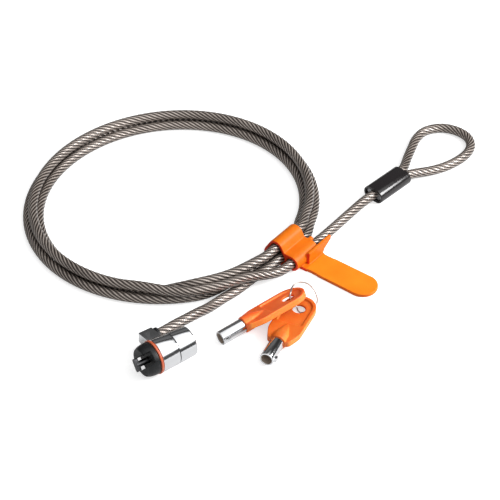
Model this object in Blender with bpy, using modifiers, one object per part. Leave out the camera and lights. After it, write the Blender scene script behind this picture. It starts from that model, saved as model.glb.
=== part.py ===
# Laptop cable lock: a barrel lock head with a T-bar nose, a steel cable laid in a three-turn coil and
# ending in a crimped eye, a cable strap round the coil, and two tubular keys on a wire ring.
# Lengths are in metres, +Z is up, and the origin is on the table under the strap.
import math

import bmesh
import bpy
from mathutils import Vector

MM = 0.001
CLEAR = 0.3 * MM                # gap kept between neighbouring pieces
SIDES = 40                      # sides of a large turned piece
PIN_SIDES = 10                  # sides of a small pin

# ---- Cable and coil ----
CABLE_DIAMETER = 5.5 * MM
CABLE_RADIUS = CABLE_DIAMETER / 2
STRAND_PITCH = 6.2 * MM         # from turn to turn, centre to centre
COIL_RADIUS = 77.6 * MM         # to the middle of the pile of turns
COIL_INSET = 2.2 * MM           # the strap stands this much nearer to the coil's centre
COIL_LEAN = math.radians(112)   # the way from the strap to the coil's centre
COIL_OVAL = 2.1 * MM            # how far the coil departs from a circle
COIL_OVAL_TURN = math.radians(15)
COIL_TURNS = 3
POINTS_PER_TURN = 24
STRAP_RUN = 9.5 * MM            # the turns run straight this far on each side of the strap's middle
STRAP_EASE = 26.0 * MM          # and have joined the round coil at this distance
LIFT_EASE = 46.0 * MM           # and lie on the table from here on
SWAP_START = 0.78               # share of a turn at which the turns begin to change places
SWAP_RISE = 1.05 * MM           # room that a crossing turn leaves above the one below
OUTER_GOES_IN = (0.872, 0.942)  # shares of a turn between which each move happens
INNER_ROLLS = (0.825, 0.885)
INNER_LIFTS = (0.855, 0.885)
INNER_SETTLES = (0.93, 0.97)
TOP_LIFTS = (0.785, 0.825)
TOP_GOES_OVER = (0.80, 0.875)
TOP_GOES_OUT = (0.915, 0.965)
TOP_DROPS = (0.92, 0.978)
CABLE_SIDES = 3                 # bevel resolution of the stretches that aren't coiled

# ---- Cable strap ----
STRAP_ANGLE = math.radians(17)
STRAP_LENGTH = 18.6 * MM        # along the cable
STRAP_WALL = 1.6 * MM
STRAP_PILE_ACROSS = -4.9 * MM   # middle of the three turns, measured across the strap
STRAP_TAIL_ACROSS = 5.6 * MM    # the tail's own hole
TONGUE_THICKNESS = 2.0 * MM
TONGUE_WIDTH = 16.8 * MM
TONGUE_TIP_ACROSS = 52.0 * MM
TONGUE_SHIFT = 3.3 * MM         # the tongue's middle along the strap
ROOT_ACROSS = 13.0 * MM         # the strap's plate ends here and the tongue begins
FIN_ACROSS = 10.3 * MM
FIN_THICKNESS = 1.5 * MM
NUB_RADIUS = 1.5 * MM

# ---- Lock head, measured along its axis from the middle of the orange ring, rearward positive ----
RING_RADIUS = 9.1 * MM
RING_HALF_WIDTH = 0.6 * MM
HEAD_X = -109.2 * MM
HEAD_Y = -31.1 * MM
BARREL_RADIUS = 8.94 * MM       # at the ring
BARREL_TAPER = 0.0437           # radius lost per unit of length
COLLAR_LENGTH = 10.0 * MM
SHELL_LENGTH = 10.3 * MM
SHELL_EDGE = 0.6 * MM
NECK_RADIUS = 7.0 * MM
BORE_RADIUS = 6.0 * MM
REAR_WALL = 2.0 * MM
EDGE = 0.3 * MM                 # small broken edges
LUG_LENGTH = 8.0 * MM
LUG_REACH = 16.2 * MM
LUG_TIP_HALF = 2.95 * MM
LUG_FLARE = 0.1875              # half height gained per unit towards the barrel
LUG_RISE = 0.9 * MM
LUG_TIP_TO_CABLE = 3.8 * MM
STOP_PLACE = 1.8 * MM           # from the collar's front
STOP_LENGTH = 3.5 * MM
BUSH_WALL = 0.65 * MM
BUSH_LENGTH = 1.5 * MM
CROSS_PIN_RADIUS = 0.9 * MM

# ---- Tubular lock inside the head ----
PIN_COUNT = 7
PIN_RADIUS = 0.65 * MM
PIN_DEPTHS = [0.2 * MM, 1.0 * MM, 0.5 * MM, 1.2 * MM, 0.3 * MM, 0.8 * MM, 0.6 * MM]
PIN_GAP = 0.15 * MM             # each pin stops this far from the shear line
CORE_DISC = 3.5 * MM
CORE_POST_SHORT = 0.2 * MM      # the post ends this far inside the rear face
SHAFT_RADIUS = 1.6 * MM
SHAFT_SEAT = 1.8 * MM           # how deep the T-bar's shaft sits in the core
BLOCK_LENGTH = 12.3 * MM
DRIVER_BORE = 7.5 * MM
DRIVER_LENGTH = 3.0 * MM
SPRING_WIRE = 0.15 * MM         # wire radius
SPRING_RADIUS = 0.5 * MM
SPRING_CURLS = 4
BLOCK_PIN_RADIUS = 0.8 * MM
BLOCK_PIN_PLACE = 2.4 * MM

# ---- Nose ----
PLATE_RADIUS = 7.6 * MM
PLATE_THICKNESS = 1.2 * MM
SCREW_CIRCLE = 4.2 * MM
SCREW_RADIUS = 0.8 * MM
SCREW_HEAD = 0.75 * MM          # how far the countersunk head stands out round the shank
SCREW_LENGTH = 4.6 * MM
BUMPER_RADIUS = 8.7 * MM
BUMPER_FRONT_RADIUS = 7.2 * MM
BUMPER_FLOOR = 1.0 * MM
PAD_HEIGHT = 4.2 * MM
CHANNEL_WIDTH = 6.6 * MM
CHANNEL_ANGLE = math.radians(-50)
BAR_STANDOFF = 1.3 * MM         # from the pads to the bar
BAR_THICKNESS = 2.2 * MM
BAR_LENGTH = 7.0 * MM
BAR_WIDTH = 2.4 * MM
BAR_ANGLE = math.radians(54)

# ---- Ferrule and eye ----
TAIL_REACH = 67.9 * MM          # from the strap's middle to the ferrule
TAIL_BEARING = math.radians(12.07)
FERRULE_LENGTH = 25.4 * MM
FERRULE_BEARING = math.radians(11.6)
FERRULE_HEIGHT = 4.3 * MM
EYE_LENGTH = 56.0 * MM          # from the ferrule to the eye's far end
FERRULE_HALF_FLAT = 2.45 * MM
FERRULE_ROUND = 4.25 * MM
FERRULE_WALL = 0.8 * MM
CRIMP_INSET = 1.2 * MM
LEG_OFFSET = 2.9 * MM

# ---- Keys, each measured from the hole in its bow, towards the bow's end positive ----
KEY_OUTER_RADIUS = 3.85 * MM
KEY_INNER_RADIUS = 2.95 * MM
KEY_PLAY = 0.25 * MM
KEY_MOUTH = -43.5 * MM
KEY_BORE_DEPTH = 8.0 * MM
KEY_SHANK_RADIUS = 3.2 * MM
KEY_SHANK_LENGTH = 4.8 * MM
NIB_WIDTH = 2.0 * MM
NIB_HEIGHT = 1.1 * MM
NIB_LENGTH = 3.0 * MM
NIB_PLACE = 0.8 * MM
BOW_FRONT = -28.9 * MM
BOW_FRONT_HALF = 6.5 * MM
BOW_FLARE = 10.0 * MM
BOW_CORNER = 2.8 * MM            # round corner beside the tube, up to the flare's slope
BOW_CORNER_TURN = math.radians(70)
BOW_HALF = 8.9 * MM
BOW_END = 9.8 * MM
BOW_THICKNESS = 3.4 * MM
BOW_EDGE = 0.9 * MM
BOW_HOLE = 3.4 * MM
BOW_RIM = 2.0 * MM              # width of the border round the bow's sunk panel
BOW_SUNK = 1.0 * MM             # depth of the panel on each face
PANEL_FRONT = -13.2 * MM
BOSS_RADIUS = 4.45 * MM
BOSS_LENGTH = 4.6 * MM
BOSS_TAPER = 10.6 * MM
KEY_A_PLACE = Vector((-27.8, -33.6, 8.5)) * MM
KEY_A_TURN = (math.radians(-25), math.radians(-6.1), math.radians(0.8))    # leans on key B
KEY_B_PLACE = Vector((-24.7, -39.2, 3.53)) * MM
KEY_B_TURN = (0.0, math.radians(2.55), math.radians(31.5))
WIRE_RADIUS = 0.45 * MM

# ---- Places that follow from the sizes above ----
COLLAR_FRONT = RING_HALF_WIDTH + CLEAR
COLLAR_BACK = COLLAR_FRONT + COLLAR_LENGTH
SHELL_FRONT = COLLAR_BACK + CLEAR
SHELL_BACK = SHELL_FRONT + SHELL_LENGTH
NECK_FRONT = -RING_HALF_WIDTH
INNER_RADIUS = BORE_RADIUS - CLEAR
PIN_BORE = PIN_RADIUS + CLEAR
PIN_CIRCLE = (KEY_OUTER_RADIUS + KEY_INNER_RADIUS) / 2
POST_RADIUS = KEY_INNER_RADIUS - 2 * KEY_PLAY
KEYWAY_RADIUS = KEY_OUTER_RADIUS + KEY_PLAY
NIB_ROOM = KEYWAY_RADIUS + NIB_HEIGHT
BLOCK_BACK = NECK_FRONT + BLOCK_LENGTH
CORE_FRONT = BLOCK_BACK + CLEAR
CORE_BACK = CORE_FRONT + CORE_DISC
DRIVER_BACK = BLOCK_BACK - PIN_GAP
SHAFT_BORE = SHAFT_RADIUS + CLEAR
SHAFT_BACK = CORE_FRONT + SHAFT_SEAT
PLATE_BACK = NECK_FRONT - CLEAR
PLATE_FRONT = PLATE_BACK - PLATE_THICKNESS
FLOOR_BACK = PLATE_FRONT - CLEAR
FLOOR_FRONT = FLOOR_BACK - BUMPER_FLOOR
PAD_FRONT = FLOOR_FRONT - PAD_HEIGHT
BAR_BACK = PAD_FRONT - BAR_STANDOFF
BAR_FRONT = BAR_BACK - BAR_THICKNESS
CABLE_BORE = CABLE_RADIUS + CLEAR
CABLE_OFFSET = LUG_REACH - LUG_TIP_TO_CABLE      # cable axis from the head's axis
LUG_BACK = COLLAR_FRONT + LUG_LENGTH
STOP_FRONT = COLLAR_FRONT + STOP_PLACE
STOP_BACK = STOP_FRONT + STOP_LENGTH
SCREW_FRONT = PLATE_FRONT + 0.05 * MM
CELL_RADIUS = CABLE_RADIUS + 1.2 * CLEAR
STRAP_GROUND = STRAP_WALL + CELL_RADIUS
CLIMB = STRAND_PITCH * math.sqrt(3) / 2
BASE_LIFT = STRAP_GROUND - CABLE_RADIUS

for item in list(bpy.data.objects):
    bpy.data.objects.remove(item, do_unlink=True)
parts = bpy.data.collections.new("laptop_cable_lock")
cutters = bpy.data.collections.new("cutters")
bpy.context.scene.collection.children.link(parts)
bpy.context.scene.collection.children.link(cutters)


# ---- Making and placing objects ----
def finish(item, color, roughness, metallic=0.0):
    shade = bpy.data.materials.new(item.name + "_finish")
    shade.use_nodes = True
    principled = shade.node_tree.nodes["Principled BSDF"]
    principled.inputs["Base Color"].default_value = (*color, 1.0)
    principled.inputs["Roughness"].default_value = roughness
    principled.inputs["Metallic"].default_value = metallic
    item.data.materials.append(shade)
    return item


def chrome(item):
    return finish(item, (0.86, 0.87, 0.88), 0.12, 1.0)


def steel(item):
    return finish(item, (0.62, 0.60, 0.58), 0.3, 1.0)


def brass(item):
    return finish(item, (0.75, 0.58, 0.28), 0.3, 1.0)


def black_plastic(item):
    return finish(item, (0.035, 0.035, 0.037), 0.5)


def orange_plastic(item):
    return finish(item, (0.92, 0.27, 0.03), 0.35)


def cable_finish(item):
    return finish(item, (0.36, 0.31, 0.28), 0.35, 0.6)


def empty(name, location, rotation=(0, 0, 0), parent=None):
    marker = bpy.data.objects.new(name, None)
    parts.objects.link(marker)
    marker.parent = parent
    marker.location = location
    marker.rotation_euler = rotation
    return marker


def place(name, data, parent=None, location=(0, 0, 0), rotation=(0, 0, 0), cutter=False):
    item = bpy.data.objects.new(name, data)
    (cutters if cutter else parts).objects.link(item)
    item.parent = parent
    item.location = location
    item.rotation_euler = rotation
    if cutter:
        item.hide_render = True
        item.display_type = "WIRE"
    return item


def shade_smooth(mesh, angle=35):
    mesh.shade_smooth()
    mesh.set_sharp_from_angle(angle=math.radians(angle))


def turned(name, profile, closed=True, sides=SIDES, **where):
    # profile: (radius, height) pairs running down the outer side, then up the inner one
    mesh = bpy.data.meshes.new(name)
    edges = [(i, i + 1) for i in range(len(profile) - 1)]
    if closed:
        edges.append((len(profile) - 1, 0))
    mesh.from_pydata([(radius, 0, height) for radius, height in profile], edges, [])
    item = place(name, mesh, **where)
    screw = item.modifiers.new("turn", "SCREW")
    screw.axis = "Z"
    screw.angle = 2 * math.pi
    screw.steps = screw.render_steps = sides
    screw.use_merge_vertices = True
    screw.merge_threshold = 0.00001
    screw.use_smooth_shade = False
    return item


def rod(name, radius, low, high, sides=SIDES, **where):
    return turned(name, [(0, high), (radius, high), (radius, low), (0, low)], closed=False,
                  sides=sides, **where)


def block(name, size, **where):
    mesh = bpy.data.meshes.new(name)
    form = bmesh.new()
    bmesh.ops.create_cube(form, size=1.0)
    bmesh.ops.scale(form, vec=size, verts=form.verts)
    form.to_mesh(mesh)
    form.free()
    return place(name, mesh, **where)


def plate(name, outlines, thickness, **where):
    # a flat outline, with its holes, filled and given a thickness about its own plane
    curve = bpy.data.curves.new(name, "CURVE")
    curve.dimensions = "2D"
    curve.fill_mode = "BOTH"
    curve.extrude = thickness / 2
    for outline in outlines:
        spline = curve.splines.new("POLY")
        spline.points.add(len(outline) - 1)
        for point, (x, y) in zip(spline.points, outline):
            point.co = (x, y, 0, 1)
        spline.use_cyclic_u = True
    flat = bpy.data.objects.new(name + "_outline", curve)
    parts.objects.link(flat)
    bpy.context.view_layer.update()
    shape = flat.evaluated_get(bpy.context.evaluated_depsgraph_get())
    mesh = bpy.data.meshes.new_from_object(shape)
    mesh.name = name
    form = bmesh.new()
    form.from_mesh(mesh)
    bmesh.ops.remove_doubles(form, verts=form.verts, dist=0.000002)
    bmesh.ops.recalc_face_normals(form, faces=form.faces)
    form.to_mesh(mesh)
    form.free()
    bpy.data.objects.remove(flat, do_unlink=True)
    return place(name, mesh, **where)


def tube(name, points, radius, resolution, cyclic=False):
    curve = bpy.data.curves.new(name, "CURVE")
    curve.dimensions = "3D"
    curve.bevel_depth = radius
    curve.bevel_resolution = resolution
    curve.use_fill_caps = True
    spline = curve.splines.new("POLY")
    spline.points.add(len(points) - 1)
    for point, co in zip(spline.points, points):
        point.co = (*co, 1)
    spline.use_cyclic_u = cyclic
    return place(name, curve)


def shape_with(item, other, operation):
    change = item.modifiers.new(other.name, "BOOLEAN")
    change.operation = operation
    change.object = other
    return item


def cut(item, other):
    return shape_with(item, other, "DIFFERENCE")


def join(item, other):
    return shape_with(item, other, "UNION")


def soften(item, width, segments=2, angle=40):
    bevel = item.modifiers.new("edges", "BEVEL")
    bevel.width = width
    bevel.segments = segments
    bevel.limit_method = "ANGLE"
    bevel.angle_limit = math.radians(angle)
    return item


# ---- Outlines ----
def arc(centre, radius, start, end, count):
    steps = [start + (end - start) * i / count for i in range(count + 1)]
    return [(centre[0] + radius * math.cos(t), centre[1] + radius * math.sin(t)) for t in steps]


def circle(centre, radius, count):
    return arc(centre, radius, 0, 2 * math.pi, count)[:-1]


def stadium(half_flat, radius, count=12):
    right = arc((half_flat, 0), radius, -math.pi / 2, math.pi / 2, count)
    left = arc((-half_flat, 0), radius, math.pi / 2, 3 * math.pi / 2, count)
    return right + left


def wrap(centres, radius, count=8):
    # the outline of a band stretched round circles, whose centres are given anticlockwise
    outline = []
    for i, centre in enumerate(centres):
        before, after = centres[i - 1], centres[(i + 1) % len(centres)]
        start = math.atan2(centre[1] - before[1], centre[0] - before[0]) - math.pi / 2
        end = math.atan2(after[1] - centre[1], after[0] - centre[0]) - math.pi / 2
        while end < start:
            end += 2 * math.pi
        outline += arc(centre, radius, start, end, count)
    return outline


# ---- The cable's route ----
def ease(t):
    t = max(0.0, min(1.0, t))
    return t * t * (3 - 2 * t)


def between(value, start, end):
    return ease((value - start) / (end - start))


along = Vector((math.cos(STRAP_ANGLE), math.sin(STRAP_ANGLE), 0))     # the cable's way through the strap
across = Vector((math.sin(STRAP_ANGLE), -math.cos(STRAP_ANGLE), 0))   # out of the coil


def strap_point(run, side, height):
    return along * run + across * side + Vector((0, 0, height))


def bearing(angle, length):
    return Vector((math.cos(angle), math.sin(angle), 0)) * length


pile_foot = strap_point(0, STRAP_PILE_ACROSS, 0)
COIL_CENTRE = pile_foot + bearing(COIL_LEAN, COIL_RADIUS - COIL_INSET)
START_ANGLE = COIL_LEAN + math.pi


def turn_section(turn, share):
    # where a turn lies in the pile: its offset from the pile's middle, and its height.
    # The outer turn moves in, the inner one rides over it to the top, and the top one drops outside.
    half = STRAND_PITCH / 2
    if turn == 0:
        return half - STRAND_PITCH * between(share, *OUTER_GOES_IN), CABLE_RADIUS
    if turn == 1:
        roll = math.radians(180 - 60 * between(share, *INNER_ROLLS))
        rise = SWAP_RISE * between(share, *INNER_LIFTS) * (1 - between(share, *INNER_SETTLES))
        return half + STRAND_PITCH * math.cos(roll), CABLE_RADIUS + STRAND_PITCH * math.sin(roll) + rise
    top = CABLE_RADIUS + CLIMB + SWAP_RISE * between(share, *TOP_LIFTS)
    height = top + (CABLE_RADIUS - top) * between(share, *TOP_DROPS)
    offset = STRAND_PITCH * between(share, *TOP_GOES_OVER)
    return offset + (STRAP_TAIL_ACROSS - STRAP_PILE_ACROSS - STRAND_PITCH) * between(share, *TOP_GOES_OUT), height


def pile_point(share, offset, height):
    # a place in the pile: outward from its middle, and above the table where the pile lies on it
    angle = START_ANGLE + 2 * math.pi * share
    radius = COIL_RADIUS + COIL_OVAL * math.cos(2 * (angle - COIL_OVAL_TURN)) + offset
    loop = COIL_CENTRE + Vector((math.cos(angle), math.sin(angle), 0)) * radius
    away = 2 * math.pi * COIL_RADIUS * min(share, 1 - share)
    hold = 1 - between(away, STRAP_RUN, STRAP_EASE)
    line = along * (away if share < 0.5 else -away) + across * (STRAP_PILE_ACROSS + offset)
    point = loop.lerp(line, hold)
    point.z = height + BASE_LIFT * (1 - between(away, STRAP_RUN, LIFT_EASE))
    return point


def coil_route():
    # the points are closer together where the turns change places
    first = (STRAP_RUN + 1 * MM) / (2 * math.pi * COIL_RADIUS)
    wide, close = int(0.75 * POINTS_PER_TURN), int(0.75 * POINTS_PER_TURN)
    shares = [0.0, first] + [first + (SWAP_START - first) * (i + 0.5) / wide for i in range(wide)]
    shares += [SWAP_START + (1 - first - SWAP_START) * i / close for i in range(close + 1)]
    route = [pile_point(share, *turn_section(turn, share)) for turn in range(COIL_TURNS) for share in shares]
    return route + [pile_point(1.0, *turn_section(COIL_TURNS - 1, 1.0))]


def beside_pile(away, offset):
    # a place on the pile's bottom layer, at a distance along the turns before the strap
    return pile_point(1 - away * MM / (2 * math.pi * COIL_RADIUS), offset * MM, CABLE_RADIUS)


def smooth(points, count, cyclic=False):
    # a Catmull-Rom curve through the points, read at count places in each stretch
    total = len(points)
    stretches = total if cyclic else total - 1

    def at(index):
        if cyclic:
            return points[index % total]
        if index < 0:
            return points[0] * 2 - points[1]
        if index >= total:
            return points[-1] * 2 - points[-2]
        return points[index]

    route = []
    for i in range(stretches):
        a, b, c, d = at(i - 1), at(i), at(i + 1), at(i + 2)
        for k in range(count):
            t = k / count
            route.append(0.5 * (2 * b + (c - a) * t + (2 * a - 5 * b + 4 * c - d) * t ** 2
                                + (3 * b - a - 3 * c + d) * t ** 3))
    if not cyclic:
        route.append(points[-1])
    return route


def segment_gap(p, q, r, s):
    # least distance between the straight runs p-q and r-s
    u, v, w = q - p, s - r, p - r
    a, b, c, d, e = u.dot(u), u.dot(v), v.dot(v), u.dot(w), v.dot(w)
    det = a * c - b * b
    t = min(1.0, max(0.0, (b * e - c * d) / det)) if det > 1e-18 else 0.0
    k = min(1.0, max(0.0, (b * t + e) / c))
    t = min(1.0, max(0.0, (b * k - d) / a))
    return (w + u * t - v * k).length


def least_gap(route):
    # between the surfaces of stretches of the tube that lie more than a quarter turn apart
    apart = POINTS_PER_TURN // 4
    runs = list(zip(route, route[1:]))
    return min(segment_gap(*runs[i], *runs[j]) for i in range(len(runs))
               for j in range(i + apart, len(runs))) - CABLE_DIAMETER


# The cable's stretches that aren't coiled go through points chosen by eye.
cable_axis = Vector((HEAD_X, HEAD_Y + CABLE_OFFSET, RING_RADIUS + LUG_RISE))
pile_outer = STRAP_PILE_ACROSS + STRAND_PITCH / 2
coil = coil_route()
lead = [cable_axis + Vector((STOP_BACK + CLEAR, 0, 0)), cable_axis + Vector((13.2, 0, 0)) * MM]
lead += [Vector(point) * MM for point in [
    (-88, -17.9, 10.0), (-80, -16.9, 9.4), (-72, -15.0, 7.8), (-65, -12.6, 5.2), (-58, -9.9, 3.1)]]
lead += [beside_pile(away, offset) for away, offset in [
    (49, 9.0), (44, 7.4), (39, 5.8), (34, 4.4), (28, 3.4), (20, 3.1), (12, 3.1)]]
lead += [strap_point(-CLEAR, pile_outer, STRAP_GROUND)]
FERRULE_START = bearing(TAIL_BEARING, TAIL_REACH) + Vector((0, 0, FERRULE_HEIGHT))
FERRULE_END = FERRULE_START + bearing(FERRULE_BEARING, FERRULE_LENGTH)
ferrule_way = bearing(FERRULE_BEARING, 1)
ferrule_side = Vector((-ferrule_way.y, ferrule_way.x, 0))
leg = ferrule_side * LEG_OFFSET
inlet = CRIMP_INSET - CLEAR
tail = [strap_point(CLEAR, STRAP_TAIL_ACROSS, STRAP_GROUND),
        strap_point(10 * MM, STRAP_TAIL_ACROSS, STRAP_GROUND),
        strap_point(0.35 * TAIL_REACH, 5.9 * MM, 4.8 * MM), strap_point(0.65 * TAIL_REACH, 5.4 * MM, 4.6 * MM),
        FERRULE_START - ferrule_way * 8 * MM, FERRULE_START + ferrule_way * inlet]
eye = [FERRULE_END + leg - ferrule_way * inlet, FERRULE_END + leg + ferrule_way * 3.5 * MM]
share_of_eye = EYE_LENGTH / 56  # the eye's points are measured from the ferrule's end, and their heights from the table
eye += [Vector((FERRULE_END.x + x * share_of_eye, FERRULE_END.y + y * share_of_eye, z * MM)) for x, y, z in [
    (6.5, 5.9, 3.6), (14.2, 12.3, 2.9), (21.8, 18.0, 2.75), (29.9, 23.7, 2.75), (39.2, 26.9, 2.75),
    (49.3, 23.9, 2.75), (55.0, 16.0, 2.75), (55.9, 7.3, 2.75), (52.1, 0.2, 2.75), (45.2, -4.3, 2.75),
    (37.3, -6.3, 2.75), (27.3, -6.7, 2.75), (16.7, -5.0, 3.0), (9.7, -3.1, 3.6)]]
eye += [FERRULE_END - leg + ferrule_way * 3.5 * MM, FERRULE_END - leg - ferrule_way * inlet]


def cable():
    cable_finish(tube("cable_coil", coil, CABLE_RADIUS, 1))
    cable_finish(tube("cable_lead", smooth(lead, 2), CABLE_RADIUS, CABLE_SIDES))
    cable_finish(tube("cable_tail", smooth(tail, 2), CABLE_RADIUS, CABLE_SIDES))
    cable_finish(tube("cable_eye", smooth(eye, 2), CABLE_RADIUS, CABLE_SIDES))


def ferrule():
    # an oval aluminium crimp inside a black sleeve with rounded ends
    length = FERRULE_LENGTH
    middle = (FERRULE_START + FERRULE_END) / 2
    centre = empty("ferrule_centre", middle, (math.pi / 2, 0, FERRULE_BEARING + math.pi / 2))
    crimp_round = FERRULE_ROUND - FERRULE_WALL - CLEAR
    steel(plate("crimp_ferrule", [stadium(FERRULE_HALF_FLAT, crimp_round)], length - 2 * CRIMP_INSET,
                parent=centre))
    sleeve = plate("ferrule_cover", [stadium(FERRULE_HALF_FLAT, FERRULE_ROUND)], length, parent=centre)
    soften(sleeve, 1.3 * MM, 3)
    hollow = plate("ferrule_hollow", [stadium(FERRULE_HALF_FLAT, FERRULE_ROUND - FERRULE_WALL)],
                   length + 2 * MM, parent=centre, cutter=True)
    black_plastic(cut(sleeve, hollow))


def strap():
    # the section is drawn in the strap's own plane: across, then up
    frame = empty("strap_axis", (0, 0, 0), (math.pi / 2, 0, STRAP_ANGLE - math.pi / 2))
    ground, top = STRAP_GROUND, STRAP_GROUND + CLIMB
    outer = STRAP_PILE_ACROSS + STRAND_PITCH / 2
    inner = STRAP_PILE_ACROSS - STRAND_PITCH / 2
    pile = [(inner, ground), (outer, ground), (STRAP_PILE_ACROSS, top)]
    wall = CELL_RADIUS + STRAP_WALL
    band = plate("strap_band", [wrap(pile, wall)], STRAP_LENGTH, parent=frame)
    lobe = plate("strap_tail_lobe", [wrap([(outer, ground), (STRAP_TAIL_ACROSS, ground)], wall)],
                 STRAP_LENGTH - 0.02 * MM, parent=frame, cutter=True)
    root_middle = (STRAP_TAIL_ACROSS + ROOT_ACROSS) / 2
    root = block("strap_root", (ROOT_ACROSS - STRAP_TAIL_ACROSS, TONGUE_THICKNESS, TONGUE_WIDTH),
                 parent=frame, location=(root_middle, TONGUE_THICKNESS / 2, -TONGUE_SHIFT), cutter=True)
    # the fin stands along the strap, clear of the tail lobe, and overhangs the strap's far end
    foot, top_height = 0.5 * TONGUE_THICKNESS, ground + wall - 0.2 * MM
    reach = STRAP_LENGTH
    fin_side = [(-1 * MM, foot), (11.5 * MM, foot), (13 * MM, 4 * MM), (reach, 7.4 * MM),
                (reach, top_height + 0.6 * MM), (-1 * MM, top_height)]
    fin = plate("strap_fin", [fin_side], FIN_THICKNESS, parent=frame,
                location=(FIN_ACROSS + FIN_THICKNESS / 2, 0, 0), rotation=(0, math.pi / 2, 0), cutter=True)
    web = block("strap_fin_web", (FIN_ACROSS - STRAP_TAIL_ACROSS, 2 * MM, 10 * MM), parent=frame,
                location=((FIN_ACROSS + STRAP_TAIL_ACROSS) / 2 + 0.1 * MM, ground + wall - 2.4 * MM, -4.2 * MM),
                cutter=True)
    nub = rod("strap_nub", NUB_RADIUS, -STRAP_LENGTH / 2 - 2.7 * MM, -STRAP_LENGTH / 2 + 2 * MM, 16,
              parent=frame, location=(3.7 * MM, ground + wall - NUB_RADIUS - 0.1 * MM, 0), cutter=True)
    cell = plate("strap_cell", [wrap(pile, CELL_RADIUS)], 2 * STRAP_LENGTH, parent=frame, cutter=True)
    hole = rod("strap_tail_hole", CELL_RADIUS, -STRAP_LENGTH, STRAP_LENGTH, 24, parent=frame,
               location=(STRAP_TAIL_ACROSS, ground, 0), cutter=True)
    for piece in (lobe, root, fin, web, nub):
        join(band, piece)
    cut(band, cell)
    orange_plastic(cut(band, hole))

    # the tongue bends up at its root, about the upper edge
    hinge = empty("tongue_hinge", strap_point(0, ROOT_ACROSS + CLEAR / 2, TONGUE_THICKNESS),
                  (0, 0, STRAP_ANGLE - math.pi / 2))
    half = TONGUE_WIDTH / 2
    straight = TONGUE_TIP_ACROSS - ROOT_ACROSS - half
    outline = [(CLEAR / 2, -half)] + arc((straight, 0), half, -math.pi / 2, math.pi / 2, 20)
    outline += [(CLEAR / 2, half)]
    tongue = plate("strap_tongue", [outline], TONGUE_THICKNESS, parent=hinge,
                   location=(0, TONGUE_SHIFT, -TONGUE_THICKNESS / 2))
    orange_plastic(soften(tongue, 0.4 * MM, 1))


# ---- The lock head: its empty's local Z is the axis, rearward, and local -X is up ----
head_axis = empty("head_axis", (HEAD_X, HEAD_Y, RING_RADIUS), (0, math.pi / 2, 0))


def barrel(place_on_axis):
    return BARREL_RADIUS - BARREL_TAPER * place_on_axis


def head_spot(side, up, back=0.0):
    return Vector((-up, side, back))


def lug_half(side):
    return LUG_TIP_HALF + LUG_FLARE * (LUG_REACH - side)


def swivel_collar():
    back, front = barrel(COLLAR_BACK), barrel(COLLAR_FRONT)
    inner = NECK_RADIUS + CLEAR
    collar = turned("swivel_collar", [
        (back - EDGE, COLLAR_BACK), (back, COLLAR_BACK - EDGE), (front, COLLAR_FRONT + EDGE),
        (front - EDGE, COLLAR_FRONT), (inner, COLLAR_FRONT), (inner, COLLAR_BACK)], parent=head_axis)
    near, far = 5 * MM, LUG_REACH
    outline = []
    for side, sign in ((near, 1), (near, -1), (far, -1), (far, 1)):
        outline.append((-(LUG_RISE + sign * lug_half(side)), side))
    lug = plate("arm_lug", [outline], LUG_LENGTH, parent=head_axis,
                location=(0, 0, COLLAR_FRONT + LUG_LENGTH / 2), cutter=True)
    soften(lug, 0.5 * MM, 2)
    bore = rod("collar_bore", inner, COLLAR_FRONT - 1 * MM, COLLAR_BACK + 1 * MM, parent=head_axis, cutter=True)
    spot = head_spot(CABLE_OFFSET, LUG_RISE)
    socket = rod("cable_socket", CABLE_BORE, STOP_FRONT - CLEAR, LUG_BACK + 1 * MM, 24,
                 parent=head_axis, location=spot, cutter=True)
    half = lug_half(CABLE_OFFSET)
    middle = head_spot(CABLE_OFFSET, LUG_RISE, (STOP_FRONT + STOP_BACK) / 2)
    drill = rod("cross_pin_drill", CROSS_PIN_RADIUS + CLEAR, -2 * half, 2 * half, 16, parent=head_axis,
                location=middle, rotation=(0, math.pi / 2, 0), cutter=True)
    join(collar, lug)
    cut(collar, bore)
    cut(collar, socket)
    chrome(cut(collar, drill))

    stop = rod("cable_end_stop", CABLE_RADIUS, STOP_FRONT, STOP_BACK, 20, parent=head_axis, location=spot)
    steel(cut(stop, drill))
    steel(rod("arm_cross_pin", CROSS_PIN_RADIUS, -half + CLEAR, half - CLEAR, 12, parent=head_axis,
              location=middle, rotation=(0, math.pi / 2, 0)))
    bush_back = LUG_BACK + CLEAR + BUSH_LENGTH
    bush_outer = CABLE_BORE + BUSH_WALL
    black_plastic(turned("cable_exit_bush", [
        (bush_outer - EDGE, bush_back), (bush_outer, bush_back - EDGE), (bush_outer, LUG_BACK + CLEAR),
        (CABLE_BORE, LUG_BACK + CLEAR), (CABLE_BORE, bush_back)], sides=24, parent=head_axis, location=spot))


def accent_ring():
    inner = NECK_RADIUS + CLEAR
    orange_plastic(turned("accent_ring", [
        (RING_RADIUS, RING_HALF_WIDTH), (RING_RADIUS, -RING_HALF_WIDTH),
        (inner, -RING_HALF_WIDTH), (inner, RING_HALF_WIDTH)], parent=head_axis))


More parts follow.
